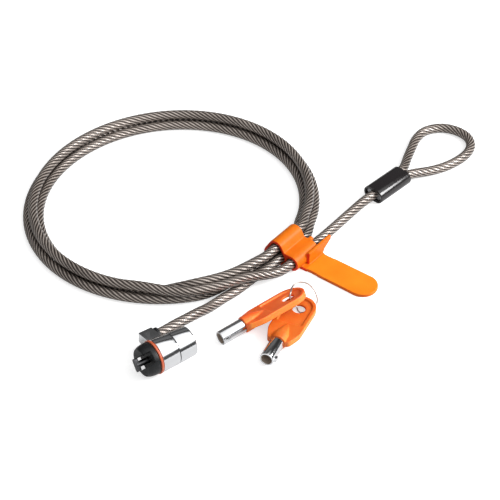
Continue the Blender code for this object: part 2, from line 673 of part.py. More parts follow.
def lock_housing():
    back = barrel(SHELL_BACK)
    wall = SHELL_BACK - REAR_WALL
    shell = turned("lock_housing", [
        (back - SHELL_EDGE, SHELL_BACK), (back, SHELL_BACK - SHELL_EDGE), (barrel(SHELL_FRONT), SHELL_FRONT),
        (NECK_RADIUS, SHELL_FRONT), (NECK_RADIUS, NECK_FRONT), (BORE_RADIUS, NECK_FRONT),
        (BORE_RADIUS, wall), (KEYWAY_RADIUS, wall), (KEYWAY_RADIUS, SHELL_BACK)], parent=head_axis)
    notch = block("nib_notch", (NIB_ROOM, NIB_WIDTH + 2 * KEY_PLAY, REAR_WALL + 2 * MM), parent=head_axis,
                  location=(-NIB_ROOM / 2, 0, SHELL_BACK - REAR_WALL / 2), cutter=True)
    drill = rod("block_pin_drill", BLOCK_PIN_RADIUS + CLEAR, SHAFT_BORE + 0.4 * MM, NECK_RADIUS + 1 * MM, 14,
                parent=head_axis, location=(0, 0, BLOCK_PIN_PLACE), rotation=(0, math.pi / 2, 0), cutter=True)
    cut(shell, notch)
    chrome(cut(shell, drill))
    steel(rod("block_pin", BLOCK_PIN_RADIUS, SHAFT_BORE + 0.7 * MM, NECK_RADIUS - 0.1 * MM, 12,
              parent=head_axis, location=(0, 0, BLOCK_PIN_PLACE), rotation=(0, math.pi / 2, 0)))
    return drill


def pin_spots():
    turns = [2 * math.pi * (i + 0.5) / PIN_COUNT for i in range(PIN_COUNT)]
    return [(PIN_CIRCLE * math.cos(t), PIN_CIRCLE * math.sin(t), 0) for t in turns]


def core_plug():
    sleeve_back = SHELL_BACK - REAR_WALL - CLEAR
    core = turned("core_plug", [
        (0, SHELL_BACK - CORE_POST_SHORT), (POST_RADIUS, SHELL_BACK - CORE_POST_SHORT), (POST_RADIUS, CORE_BACK),
        (NIB_ROOM, CORE_BACK), (NIB_ROOM, sleeve_back), (INNER_RADIUS, sleeve_back),
        (INNER_RADIUS, CORE_FRONT), (SHAFT_BORE, CORE_FRONT), (SHAFT_BORE, SHAFT_BACK + CLEAR),
        (0, SHAFT_BACK + CLEAR)], closed=False, parent=head_axis)
    for number, spot in enumerate(pin_spots(), 1):
        cut(core, rod(f"core_bore_{number}", PIN_BORE, CORE_FRONT - 1 * MM, CORE_BACK + 1 * MM, 12,
                      parent=head_axis, location=spot, cutter=True))
        depth = PIN_DEPTHS[number - 1]
        brass(rod(f"key_pin_{number}", PIN_RADIUS, CORE_FRONT + PIN_GAP, CORE_BACK - CLEAR + depth,
                  PIN_SIDES, parent=head_axis, location=spot))
    steel(core)


def spring_route(spot, low, high):
    # a plain helix whose wire just clears the bore and the pieces at its ends
    points_per_curl = 8
    total = SPRING_CURLS * points_per_curl
    route = []
    for i in range(total + 1):
        turn = 2 * math.pi * i / points_per_curl
        height = low + SPRING_WIRE + (high - low - 2 * SPRING_WIRE) * i / total
        route.append(Vector((spot[0] + SPRING_RADIUS * math.cos(turn), spot[1] + SPRING_RADIUS * math.sin(turn),
                             height)))
    return route


def driver_block(pin_drill):
    body = turned("driver_block", [
        (INNER_RADIUS, BLOCK_BACK), (INNER_RADIUS, NECK_FRONT), (SHAFT_BORE, NECK_FRONT),
        (SHAFT_BORE, BLOCK_BACK)], parent=head_axis)
    bottom = BLOCK_BACK - DRIVER_BORE
    for number, spot in enumerate(pin_spots(), 1):
        cut(body, rod(f"driver_bore_{number}", PIN_BORE, bottom, BLOCK_BACK + 1 * MM, 12, parent=head_axis,
                      location=spot, cutter=True))
        brass(rod(f"driver_pin_{number}", PIN_RADIUS, DRIVER_BACK - DRIVER_LENGTH, DRIVER_BACK, PIN_SIDES,
                  parent=head_axis, location=spot))
        spring = tube(f"pin_spring_{number}",
                      spring_route(spot, bottom + CLEAR, DRIVER_BACK - DRIVER_LENGTH - CLEAR), SPRING_WIRE, 0)
        spring.parent = head_axis
        steel(spring)
    cut(body, pin_drill)
    for number, side in enumerate((SCREW_CIRCLE, -SCREW_CIRCLE), 1):
        cut(body, rod(f"screw_hole_{number}", SCREW_RADIUS + CLEAR, NECK_FRONT - 1 * MM,
                      SCREW_FRONT + SCREW_LENGTH + CLEAR, 14, parent=head_axis, location=(0, side, 0),
                      cutter=True))
    brass(body)


def nose_plate():
    disc = turned("nose_plate", [
        (PLATE_RADIUS, PLATE_BACK), (PLATE_RADIUS, PLATE_FRONT), (SHAFT_BORE, PLATE_FRONT),
        (SHAFT_BORE, PLATE_BACK)], parent=head_axis)
    cone = SCREW_FRONT + SCREW_HEAD
    for number, side in enumerate((SCREW_CIRCLE, -SCREW_CIRCLE), 1):
        hole_radius = SCREW_RADIUS + CLEAR
        wide = hole_radius + SCREW_HEAD + CLEAR
        cut(disc, turned(f"countersink_{number}", [
            (0, PLATE_BACK + 1 * MM), (hole_radius, PLATE_BACK + 1 * MM), (hole_radius, cone + 0.4 * CLEAR),
            (wide, cone + 0.4 * CLEAR - (wide - hole_radius)), (wide, PLATE_FRONT - 1 * MM),
            (0, PLATE_FRONT - 1 * MM)],
            closed=False, sides=16, parent=head_axis, location=(0, side, 0), cutter=True))
        screw = turned(f"plate_screw_{number}", [
            (0, SCREW_FRONT + SCREW_LENGTH), (SCREW_RADIUS, SCREW_FRONT + SCREW_LENGTH), (SCREW_RADIUS, cone),
            (SCREW_RADIUS + SCREW_HEAD, SCREW_FRONT), (0, SCREW_FRONT)], closed=False, sides=14,
            parent=head_axis, location=(0, side, 0))
        slot = block(f"screw_slot_{number}", (4 * MM, 0.5 * MM, 0.8 * MM), parent=head_axis,
                     location=(0, side, SCREW_FRONT), cutter=True)
        steel(cut(screw, slot))
    steel(disc)


def nose_bumper():
    # a black cap whose wide channel leaves two pads standing
    front = BUMPER_FRONT_RADIUS
    cap = turned("nose_bumper", [
        (BUMPER_RADIUS, PLATE_BACK), (BUMPER_RADIUS - 0.1 * MM, PLATE_BACK - 2.6 * MM),
        ((BUMPER_RADIUS + front) / 2 + 0.3 * MM, PAD_FRONT + 2.0 * MM), (front + 0.4 * MM, PAD_FRONT + 0.4 * MM),
        (front, PAD_FRONT), (SHAFT_BORE, PAD_FRONT), (SHAFT_BORE, FLOOR_BACK),
        (PLATE_RADIUS + CLEAR, FLOOR_BACK), (PLATE_RADIUS + CLEAR, PLATE_BACK)], parent=head_axis)
    depth = PAD_HEIGHT + 4 * MM
    channel = block("nose_channel", (3 * BUMPER_RADIUS, CHANNEL_WIDTH, depth), parent=head_axis,
                    location=(0, 0, FLOOR_FRONT - depth / 2), rotation=(0, 0, CHANNEL_ANGLE + math.pi / 2),
                    cutter=True)
    black_plastic(cut(cap, channel))


def t_bar():
    bar = plate("t_bar", [stadium((BAR_LENGTH - BAR_WIDTH) / 2, BAR_WIDTH / 2, 8)], BAR_THICKNESS,
                parent=head_axis, location=(0, 0, (BAR_BACK + BAR_FRONT) / 2),
                rotation=(0, 0, BAR_ANGLE + math.pi / 2))
    soften(bar, 0.3 * MM, 1)
    shaft = rod("t_bar_shaft", SHAFT_RADIUS, BAR_FRONT + 0.6 * MM, SHAFT_BACK, 20,
                parent=head_axis, cutter=True)
    return steel(join(bar, shaft))


# ---- Keys ----
def bow_outline():
    flare = [(BOW_FRONT + BOW_FLARE * t, BOW_FRONT_HALF + (BOW_HALF - BOW_FRONT_HALF) * ease(t))
             for t in (0.5, 0.75, 1.0)]
    along = BOW_CORNER * (1 - math.cos(BOW_CORNER_TURN))
    middle = (flare[0][1] - (BOW_FLARE / 2 - along) / math.tan(BOW_CORNER_TURN)
              - BOW_CORNER * math.sin(BOW_CORNER_TURN))
    corner = [(BOW_FRONT + BOW_CORNER * (1 - math.cos(t)), middle + BOW_CORNER * math.sin(t))
              for t in [BOW_CORNER_TURN * i / 5 for i in range(6)]]
    upper = corner + flare
    end = [(BOW_END * math.sin(t), BOW_HALF * math.cos(t)) for t in [math.pi * i / 18 for i in range(19)]]
    lower = [(x, -y) for x, y in reversed(upper)]
    return upper + end + lower


def panel_outline():
    end, half = BOW_END - BOW_RIM, BOW_HALF - BOW_RIM
    return [(end * math.sin(t), half * math.cos(t)) for t in [math.pi * i / 14 for i in range(15)]] + [
        (PANEL_FRONT, -half), (PANEL_FRONT, half)]


def key(letter, location, turn):
    frame = empty(f"key_{letter}_hole", location, turn)
    lying = (0, math.pi / 2, 0)
    bow = plate(f"key_{letter}_bow", [bow_outline(), circle((0, 0), BOW_HOLE, 20)], BOW_THICKNESS, parent=frame)
    soften(bow, BOW_EDGE, 2)
    boss_back = BOW_FRONT + BOSS_LENGTH
    boss = turned(f"key_{letter}_boss", [
        (0, boss_back + BOSS_TAPER), (0.3 * BOSS_RADIUS, boss_back + BOSS_TAPER), (BOSS_RADIUS, boss_back),
        (BOSS_RADIUS, BOW_FRONT), (BOSS_RADIUS - EDGE, BOW_FRONT - EDGE), (0, BOW_FRONT - EDGE)],
        closed=False, sides=28, parent=frame, rotation=lying, cutter=True)
    seat = rod(f"key_{letter}_seat", KEY_SHANK_RADIUS + CLEAR, BOW_FRONT - 1 * MM,
               BOW_FRONT + KEY_SHANK_LENGTH + CLEAR, 28, parent=frame, rotation=lying, cutter=True)
    join(bow, boss)
    for side, sign in (("upper", 1), ("lower", -1)):
        cut(bow, plate(f"key_{letter}_{side}_panel", [panel_outline()], 2 * BOW_SUNK, parent=frame,
                       location=(0, 0, sign * BOW_THICKNESS / 2), cutter=True))
    orange_plastic(cut(bow, seat))

    shoulder = BOW_FRONT - EDGE - CLEAR
    barrel_tube = turned(f"key_{letter}_tube", [
        (0, BOW_FRONT + KEY_SHANK_LENGTH), (KEY_SHANK_RADIUS, BOW_FRONT + KEY_SHANK_LENGTH),
        (KEY_SHANK_RADIUS, shoulder), (KEY_OUTER_RADIUS, shoulder), (KEY_OUTER_RADIUS, KEY_MOUTH + EDGE),
        (KEY_OUTER_RADIUS - EDGE, KEY_MOUTH), (KEY_INNER_RADIUS, KEY_MOUTH),
        (KEY_INNER_RADIUS, KEY_MOUTH + KEY_BORE_DEPTH), (0, KEY_MOUTH + KEY_BORE_DEPTH)],
        closed=False, sides=28, parent=frame, rotation=lying)
    nib_low = (KEY_OUTER_RADIUS + KEY_INNER_RADIUS) / 2
    nib_high = KEY_OUTER_RADIUS + NIB_HEIGHT
    nib = block(f"key_{letter}_nib", (NIB_LENGTH, nib_high - nib_low, NIB_WIDTH), parent=frame,
                location=(KEY_MOUTH + NIB_PLACE + NIB_LENGTH / 2, -(nib_high + nib_low) / 2, 0), cutter=True)
    chrome(join(barrel_tube, nib))


def key_ring():
    # a sprung loop of wire, through points chosen so that it threads both holes and clears both bows
    loop = [Vector(point) * MM for point in [
        (-25.0, -39.4, 2.6), (-25.4, -38.1, 5.0), (-26.1, -36.6, 6.6), (-26.9, -35.2, 8.2), (-27.0, -34.2, 9.8),
        (-25.9, -33.2, 11.4), (-24.3, -31.6, 11.3), (-21.5, -28.8, 10.3), (-18.6, -27.5, 9.9), (-15.4, -27.8, 9.8),
        (-12.3, -30.4, 8.9), (-11.0, -34.1, 6.6), (-11.2, -37.1, 3.8), (-12.6, -38.7, 1.6), (-15.8, -39.6, 0.6),
        (-19.4, -39.7, 0.6), (-22.7, -40.0, 0.9)]]
    steel(tube("key_ring", smooth(loop, 2, cyclic=True), WIRE_RADIUS, 1, cyclic=True))


cable()
ferrule()
strap()
swivel_collar()
accent_ring()
housing_drill = lock_housing()
core_plug()
driver_block(housing_drill)
nose_plate()
nose_bumper()
t_bar()
key("a", KEY_A_PLACE, KEY_A_TURN)
key("b", KEY_B_PLACE, KEY_B_TURN)
key_ring()
for item in parts.objects:
    if item.type == "MESH":
        shade_smooth(item.data)

length = sum((b - a).length for route in (lead, coil, tail, eye) for a, b in zip(route, route[1:]))
print(f"least gap of the coil to itself: {least_gap(coil) / MM:.2f} mm")
print(f"cable length through its points: {(length + FERRULE_LENGTH) / MM:.0f} mm")
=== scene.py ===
# Laptop cable lock: the look of every piece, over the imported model's frame.
import math

import bmesh
import bpy
from mathutils import Euler, Matrix, Vector


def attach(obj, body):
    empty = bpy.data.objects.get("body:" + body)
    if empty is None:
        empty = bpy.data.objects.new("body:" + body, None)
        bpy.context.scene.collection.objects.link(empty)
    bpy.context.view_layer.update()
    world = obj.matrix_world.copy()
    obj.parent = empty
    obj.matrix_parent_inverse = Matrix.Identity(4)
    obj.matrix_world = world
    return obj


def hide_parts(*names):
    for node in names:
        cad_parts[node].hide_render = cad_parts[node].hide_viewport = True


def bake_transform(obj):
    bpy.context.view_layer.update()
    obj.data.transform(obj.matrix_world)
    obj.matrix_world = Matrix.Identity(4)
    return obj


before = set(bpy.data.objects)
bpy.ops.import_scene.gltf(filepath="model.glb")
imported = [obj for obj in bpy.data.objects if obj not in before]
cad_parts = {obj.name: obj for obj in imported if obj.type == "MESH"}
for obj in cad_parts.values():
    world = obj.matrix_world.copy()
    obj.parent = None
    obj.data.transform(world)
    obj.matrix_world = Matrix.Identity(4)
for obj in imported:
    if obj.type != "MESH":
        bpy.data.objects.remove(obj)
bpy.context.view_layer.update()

mm = 0.001
scene = bpy.context.scene
print("frame loaded:", len(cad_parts), "nodes")

# The camera stands at the photograph's angle, 40 degrees above the table.
cameraPlan = {"place": (-0.43284, -0.57750, 0.61065), "lookAt": (-0.01542, 0.01863, 0.0), "lens": 125}


def makeCamera(plan):
    camera = bpy.data.objects.new("photoCamera", bpy.data.cameras.new("photoCamera"))
    camera.data.lens = plan["lens"]
    camera.data.clip_end = 20
    camera.location = plan["place"]
    way = Vector(plan["lookAt"]) - Vector(plan["place"])
    camera.rotation_euler = way.to_track_quat("-Z", "Y").to_euler()
    scene.collection.objects.link(camera)
    scene.camera = camera


makeCamera(cameraPlan)


def linear(hexColour):
    parts = [int(hexColour[i:i + 2], 16) / 255 for i in (1, 3, 5)]
    return (*[c / 12.92 if c <= 0.04045 else ((c + 0.055) / 1.055) ** 2.4 for c in parts], 1.0)


def setInputs(tree, node, inputs):
    # a socket is linked, and of a node its first output; anything else is a plain value
    for key, value in inputs.items():
        if isinstance(value, bpy.types.Node):
            value = value.outputs[0]
        if isinstance(value, bpy.types.NodeSocket):
            tree.links.new(value, node.inputs[key])
        else:
            node.inputs[key].default_value = value


def addNode(tree, kind, settings=None, inputs=None):
    # the setting "stops" fills a colour ramp: (place, hex colour or grey level)
    node = tree.nodes.new(kind)
    for name, value in (settings or {}).items():
        if name == "stops":
            elements = node.color_ramp.elements
            while len(elements) < len(value):
                elements.new(0.5)
            for element, (place, tone) in zip(elements, value):
                element.position = place
                element.color = linear(tone) if isinstance(tone, str) else (tone, tone, tone, 1)
        else:
            setattr(node, name, value)
    setInputs(tree, node, inputs or {})
    return node


def startMaterial(name, **values):
    # a new material with its shader's plain values; returns what the patterns build on
    material = bpy.data.materials.new(name)
    material.use_nodes = True
    tree = material.node_tree
    shader = tree.nodes["Principled BSDF"]
    setInputs(tree, shader, {key.replace("_", " "): value for key, value in values.items()})
    return material, tree, shader, addNode(tree, "ShaderNodeTexCoord").outputs["Object"]


def paintSideShading(tree, base, tone, side, start, full):
    # paints light and shade into the base colour: a tone laid over it on the faces that turn to one side
    facing = addNode(tree, "ShaderNodeNewGeometry").outputs["Normal"]
    match = addNode(tree, "ShaderNodeVectorMath", {"operation": "DOT_PRODUCT"}, {0: facing, 1: side})
    share = addNode(tree, "ShaderNodeMapRange", {"interpolation_type": "SMOOTHSTEP"},
                    {"Value": match.outputs["Value"], "From Min": start, "From Max": full})
    mixed = addNode(tree, "ShaderNodeMix", {"data_type": "RGBA"}, {0: share, 6: base, 7: linear(tone)})
    return mixed.outputs[2]


# A pattern's scale counts its grains to the metre: 2000 is a grain 0.5 mm wide.

# Chrome plate over die-cast zinc, polished: a mirror with a faint orange-peel swell, 6 mm wide, and hairline marks
# 4 mm long, drawn 0.4 mm wide because real ones don't show.
def makeChromePlate():
    material, tree, shader, spot = startMaterial("chromePlatedZinc", Metallic=1.0, Base_Color=linear("#E6E7E9"))
    swell = addNode(tree, "ShaderNodeTexNoise", inputs={"Vector": spot, "Scale": 160.0, "Detail": 2.0})
    stretched = addNode(tree, "ShaderNodeMapping", inputs={"Vector": spot, "Scale": (250.0, 2600.0, 2600.0)})
    marks = addNode(tree, "ShaderNodeTexNoise", inputs={"Vector": stretched, "Scale": 1.0, "Detail": 4.0})
    worn = addNode(tree, "ShaderNodeValToRGB", {"stops": [(0.35, 0.07), (0.7, 0.17)]}, {"Fac": marks})
    peel = addNode(tree, "ShaderNodeBump", inputs={"Height": swell, "Distance": 0.06 * mm, "Strength": 0.25})
    setInputs(tree, shader, {"Roughness": worn, "Normal": peel})
    return material


# Wire rope under a clear jacket: right-laid strands of steel wire, brown-grey and oily, seen through glossy vinyl.
# The colour holds painted shade, near black in the grooves between strands, and a pale painted highlight on each
# strand's crown. The wires are 0.3 mm thick; they are drawn at 0.6 mm, because finer ones don't show.
def makeWireRope(strands, wiresAcross):
    material, tree, shader, spot = startMaterial("steelRopeInClearVinyl", Metallic=0.5, Roughness=0.4,
                                                 Coat_Weight=0.55, Coat_Roughness=0.14, Coat_IOR=1.5)
    lay = addNode(tree, "ShaderNodeUVMap", {"uv_map": "ropeLay"})
    split = addNode(tree, "ShaderNodeSeparateXYZ", inputs={"Vector": lay})
    across, along = split.outputs["X"], split.outputs["Y"]
    crown = addNode(tree, "ShaderNodeMath", {"operation": "PINGPONG"}, {0: across, 1: 0.5})
    patches = addNode(tree, "ShaderNodeTexNoise", inputs={"Vector": spot, "Scale": 45.0, "Detail": 3.0})
    level = addNode(tree, "ShaderNodeMath", {"operation": "MULTIPLY_ADD"}, {0: patches, 1: 0.2, 2: crown})
    # painted shade in each strand's grooves and a painted highlight on its crown, with random patches of tone
    paintedGrooveAndCrown = [(0.10, "#241E1B"), (0.26, "#4A403A"), (0.42, "#7B6F67"), (0.57, "#D2C7BE")]
    body = addNode(tree, "ShaderNodeValToRGB", {"stops": paintedGrooveAndCrown}, {"Fac": level})
    body.color_ramp.interpolation = "EASE"
    # wires lie nearly along the rope, across the strands; painted shade darkens the colour between them
    wires = addNode(tree, "ShaderNodeMath", {"operation": "MULTIPLY_ADD"}, {0: along, 1: strands, 2: across})
    wire = addNode(tree, "ShaderNodeMath", {"operation": "MULTIPLY"}, {0: wires, 1: wiresAcross})
    ridge = addNode(tree, "ShaderNodeMath", {"operation": "PINGPONG"}, {0: wire, 1: 0.5})
    shade = addNode(tree, "ShaderNodeValToRGB", {"stops": [(0.0, 0.7), (0.3, 1.0)]}, {"Fac": ridge})
    mixed = addNode(tree, "ShaderNodeMix", {"data_type": "RGBA", "blend_type": "MULTIPLY"}, {0: 1.0, 6: body, 7: shade})
    relief = addNode(tree, "ShaderNodeBump", inputs={"Height": ridge, "Distance": 0.15 * mm, "Strength": 0.4})
    setInputs(tree, shader, {"Base Color": mixed.outputs[2], "Normal": relief})
    return material


# Moulded thermoplastic elastomer: soft, satin orange, with a grain drawn 0.4 mm wide. The faces turned to the strap's
# near end get painted shade: a redder tone laid into the colour.
def makeStrapRubber(name, litTones, nearEnd, shadeTone):
    material, tree, shader, spot = startMaterial(name, Roughness=0.42, Specular_IOR_Level=0.2, Subsurface_Weight=0.15,
                                                 Subsurface_Radius=(1.0, 0.32, 0.08), Subsurface_Scale=1.6 * mm)
    patches = addNode(tree, "ShaderNodeTexNoise", inputs={"Vector": spot, "Scale": 70.0, "Detail": 3.0})
    lit = addNode(tree, "ShaderNodeValToRGB", {"stops": [(0.3, litTones[0]), (0.7, litTones[1])]}, {"Fac": patches})
    grain = addNode(tree, "ShaderNodeTexNoise", inputs={"Vector": spot, "Scale": 2600.0, "Detail": 2.0})
    relief = addNode(tree, "ShaderNodeBump", inputs={"Height": grain, "Distance": 0.05 * mm, "Strength": 0.35})
    # painted shade: a redder tone on the faces turned to the strap's near end
    setInputs(tree, shader, {"Base Color": paintSideShading(tree, lit, shadeTone, nearEnd, 0.25, 0.8), "Normal": relief})
    return material


# Injection-moulded translucent ABS for the keys' bows: warm orange with flow clouds 9 mm wide, redder in its depth,
# with a painted highlight, a paler tone, on the faces turned to one side; its grain is drawn 0.7 mm wide.
def makeBowPlastic(name, pale, deep, litSide, litTone):
    material, tree, shader, spot = startMaterial(name, Roughness=0.45, Specular_IOR_Level=0.3, Subsurface_Weight=0.3,
                                                 Subsurface_Radius=(1.0, 0.25, 0.05), Subsurface_Scale=2 * mm,
                                                 Coat_Weight=0.12, Coat_Roughness=0.2)
    flow = addNode(tree, "ShaderNodeTexNoise", inputs={"Vector": spot, "Scale": 110.0, "Detail": 3.0})
    colour = addNode(tree, "ShaderNodeValToRGB", {"stops": [(0.3, deep), (0.7, pale)]}, {"Fac": flow})
    grain = addNode(tree, "ShaderNodeTexNoise", inputs={"Vector": spot, "Scale": 1500.0, "Detail": 2.0})
    relief = addNode(tree, "ShaderNodeBump", inputs={"Height": grain, "Distance": 0.04 * mm, "Strength": 0.3})
    # painted highlight: a paler tone on the faces turned to the lit side
    setInputs(tree, shader, {"Base Color": paintSideShading(tree, colour, litTone, litSide, 0.35, 0.9), "Normal": relief})
    return material


# Glass-filled nylon for the nose cap and the cable's boss: near black, with a spark-eroded grain drawn 0.5 mm wide.
def makeBlackNylon():
    material, tree, shader, spot = startMaterial("blackNylon", Specular_IOR_Level=0.32)
    grain = addNode(tree, "ShaderNodeTexNoise", inputs={"Vector": spot, "Scale": 1900.0, "Detail": 3.0})
    colour = addNode(tree, "ShaderNodeValToRGB", {"stops": [(0.3, "#101112"), (0.75, "#222426")]}, {"Fac": grain})
    gloss = addNode(tree, "ShaderNodeValToRGB", {"stops": [(0.3, 0.3), (0.7, 0.48)]}, {"Fac": grain})
    relief = addNode(tree, "ShaderNodeBump", inputs={"Height": grain, "Distance": 0.06 * mm, "Strength": 0.35})
    setInputs(tree, shader, {"Base Color": colour, "Roughness": gloss, "Normal": relief})
    return material


# Soft vinyl sleeve over the crimp: black and glossy, with waves 5 mm long from shrinking on.
def makeSleeveVinyl():
    material, tree, shader, spot = startMaterial("blackVinylSleeve", Roughness=0.2, Base_Color=linear("#1E1B1C"),
                                                 Specular_IOR_Level=0.62)
    waves = addNode(tree, "ShaderNodeTexNoise", inputs={"Vector": spot, "Scale": 190.0, "Detail": 2.0})
    relief = addNode(tree, "ShaderNodeBump", inputs={"Height": waves, "Distance": 0.3 * mm, "Strength": 0.35})
    setInputs(tree, shader, {"Normal": relief})
    return material


# Painted trim ring: satin copper-orange, a little cloudy every 2 mm.
def makeRingLacquer():
    material, tree, shader, spot = startMaterial("orangeRingLacquer", Roughness=0.34, Coat_Weight=0.4,
                                                 Coat_Roughness=0.2)
    wear = addNode(tree, "ShaderNodeTexNoise", inputs={"Vector": spot, "Scale": 420.0, "Detail": 3.0})
    colour = addNode(tree, "ShaderNodeValToRGB", {"stops": [(0.3, "#C4532C"), (0.75, "#DA6F48")]}, {"Fac": wear})
    setInputs(tree, shader, {"Base Color": colour})
    return material


# Bare and plated metal of the small parts, with marks drawn 1 mm wide; each gives the eye its own tone and dullness.
def makeSmallMetal(name, tone, smoothest, roughest, bare=1.0):
    material, tree, shader, spot = startMaterial(name, Metallic=bare, Base_Color=linear(tone))
    turning = addNode(tree, "ShaderNodeTexNoise", inputs={"Vector": spot, "Scale": 900.0, "Detail": 4.0})
    gloss = addNode(tree, "ShaderNodeValToRGB", {"stops": [(0.3, smoothest), (0.7, roughest)]}, {"Fac": turning})
    relief = addNode(tree, "ShaderNodeBump", inputs={"Height": turning, "Distance": 0.03 * mm, "Strength": 0.4})
    setInputs(tree, shader, {"Roughness": gloss, "Normal": relief})
    return material


ropeStrands, wiresPerStrand = 9, 3
strapNearEnd = (-0.9563, -0.2924, 0.0)  # the strap's axis lies 17 degrees off X
finishes = {
    "chrome": makeChromePlate(),
    "rope": makeWireRope(ropeStrands, wiresPerStrand),
    # band and tongue are one moulding: the band's darker tones are painted shade, and both get painted shade on their
    # near-end faces
    "strap": makeStrapRubber("elastomerBandPaintedShade", ("#D4650A", "#E0740E"), strapNearEnd, "#E03C16"),
    "tongue": makeStrapRubber("elastomerTonguePaintedEndShade", ("#EA7A12", "#F2871A"), strapNearEnd, "#D2620C"),
    # both bows are one plastic: key A's lighter tones are painted light on its face turned from the light, and each bow
    # gets a painted highlight on one side
    "bowA": makeBowPlastic("translucentAbsPaintedLight", "#F97436", "#EF6026", (0.0, -0.906, 0.423), "#F68A3C"),
    "bowB": makeBowPlastic("translucentAbs", "#DA7028", "#D26018", (0.5225, -0.8526, 0.0), "#F2913A"),
    "black": makeBlackNylon(),
    "sleeve": makeSleeveVinyl(),
    "ring": makeRingLacquer(),
    "steel": makeSmallMetal("nickelPlatedSteel", "#8E8B88", 0.22, 0.42),
    "anchor": makeSmallMetal("blackenedSteel", "#5A5A5C", 0.24, 0.4),
    "bore": makeSmallMetal("oiledBareSteel", "#A89A8E", 0.45, 0.65, 0.25),
    "wire": makeSmallMetal("springWire", "#CCC3BC", 0.34, 0.5),
    "brass": makeSmallMetal("turnedBrass", "#C9A458", 0.2, 0.36),
    "crimp": makeSmallMetal("pressedAluminium", "#B9BABD", 0.3, 0.5),
}
print("materials made:", len(finishes))


def newItem(name, mesh, where=None):
    item = bpy.data.objects.new(name, mesh)
    scene.collection.objects.link(item)
    if where is not None:
        item.matrix_world = where
    return item


def tidyShading(mesh, angle):
    mesh.shade_smooth()
    mesh.set_sharp_from_angle(angle=math.radians(angle))


def bakedMesh(item):
    bpy.context.view_layer.update()
    return bpy.data.meshes.new_from_object(item.evaluated_get(bpy.context.evaluated_depsgraph_get()))


def settle(item, name, finish, body, node, angle=34):
    # bakes an item's modifiers and place into a plain mesh that takes a node's place, and clears its tools away
    mesh = bakedMesh(item)
    mesh.transform(item.matrix_world)
    tools = [change.object for change in item.modifiers if change.type == "BOOLEAN"]
    for spent in [item] + tools:
        bpy.data.objects.remove(spent, do_unlink=True)
    mesh.materials.clear()
    mesh.materials.append(finishes[finish])
    tidyShading(mesh, angle)
    piece = newItem(name, mesh)
    if body:
        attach(piece, body)
    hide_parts(node)
    return piece


def lathe(name, profile, sides, where):
    # profile: (radius, height) pairs; a radius of zero is a pole, otherwise the profile closes on itself
    form = bmesh.new()
    rings = []
    for radius, height in profile:
        around = [math.tau * i / sides for i in range(sides)] if radius >= 1e-9 else [0.0]
        rings.append([form.verts.new((radius * math.cos(t), radius * math.sin(t), height)) for t in around])
    pairs = list(zip(rings, rings[1:]))
    if len(rings[0]) > 1 and len(rings[-1]) > 1:
        pairs.append((rings[-1], rings[0]))
    for first, second in pairs:
        for i in range(sides):
            k = (i + 1) % sides
            if len(first) == 1:
                form.faces.new((first[0], second[k], second[i]))
            elif len(second) == 1:
                form.faces.new((first[i], first[k], second[0]))
            else:
                form.faces.new((first[i], first[k], second[k], second[i]))
    bmesh.ops.recalc_face_normals(form, faces=form.faces)
    return formItem(name, form, where)


def formItem(name, form, where):
    mesh = bpy.data.meshes.new(name)
    form.to_mesh(mesh)
    form.free()
    return newItem(name, mesh, where)


def rodProfile(radius, low, high):
    return [(0, low), (radius, low), (radius, high), (0, high)]


def roundCorners(profile, radius, steps, closed=True):
    # replaces each corner of a profile with a small arc-like curve
    rounded = []
    total = len(profile)
    for i, corner in enumerate(profile):
        if not closed and i in (0, total - 1):
            rounded.append(tuple(corner))
            continue
        here = Vector(corner)
        before, after = Vector(profile[i - 1]), Vector(profile[(i + 1) % total])
        reach = min(radius, (before - here).length * 0.45, (after - here).length * 0.45)
        start = here + (before - here).normalized() * reach
        end = here + (after - here).normalized() * reach
        for k in range(steps + 1):
            t = k / steps
            spot = start.lerp(here, t).lerp(here.lerp(end, t), t)
            rounded.append((max(spot.x, 0.0), spot.y))
    return rounded


def box(name, size, where):
    form = bmesh.new()
    bmesh.ops.create_cube(form, size=1.0)
    bmesh.ops.scale(form, vec=size, verts=form.verts)
    return formItem(name, form, where)


def plate(name, outlines, thickness, where):
    # a flat outline with holes, as thick as asked about its own plane
    curve = bpy.data.curves.new(name, "CURVE")
    curve.dimensions = "2D"
    curve.fill_mode = "BOTH"
    curve.extrude = thickness / 2
    for outline in outlines:
        spline = curve.splines.new("POLY")
        spline.points.add(len(outline) - 1)
        for point, (x, y) in zip(spline.points, outline):
            point.co = (x, y, 0, 1)
        spline.use_cyclic_u = True
    flat = newItem(name, curve)
    mesh = bakedMesh(flat)
    bpy.data.objects.remove(flat, do_unlink=True)
    form = bmesh.new()
    form.from_mesh(mesh)
    bmesh.ops.remove_doubles(form, verts=form.verts, dist=0.002 * mm)
    bmesh.ops.recalc_face_normals(form, faces=form.faces)
    return formItem(name, form, where)


def shifted(lie, x, y, z):
    return lie @ Matrix.Translation((x, y, z))


def turned(lie, angle, axis):
    return lie @ Matrix.Rotation(angle, 4, axis)


def shapeWith(item, operation, *tools):
    for tool in tools:
        change = item.modifiers.new(tool.name, "BOOLEAN")
        change.operation = operation
        change.object = tool
        change.solver = "EXACT"
        tool.hide_render = True


def softEdges(item, width, segments, angle=35):
    bevel = item.modifiers.new("softEdges", "BEVEL")
    bevel.width = width
    bevel.segments = segments
    bevel.limit_method = "ANGLE"
    bevel.angle_limit = math.radians(angle)


def moulded(item, voxel, passes):
    # joins the shapes of an item into one skin with rounded inner corners, as a mould gives
    remesh = item.modifiers.new("skin", "REMESH")
    remesh.mode = "VOXEL"
    remesh.voxel_size = voxel
    even = item.modifiers.new("even", "SMOOTH")
    even.factor = 0.5
    even.iterations = passes


def spread(end, count):
    return [end * i / count for i in range(count + 1)]


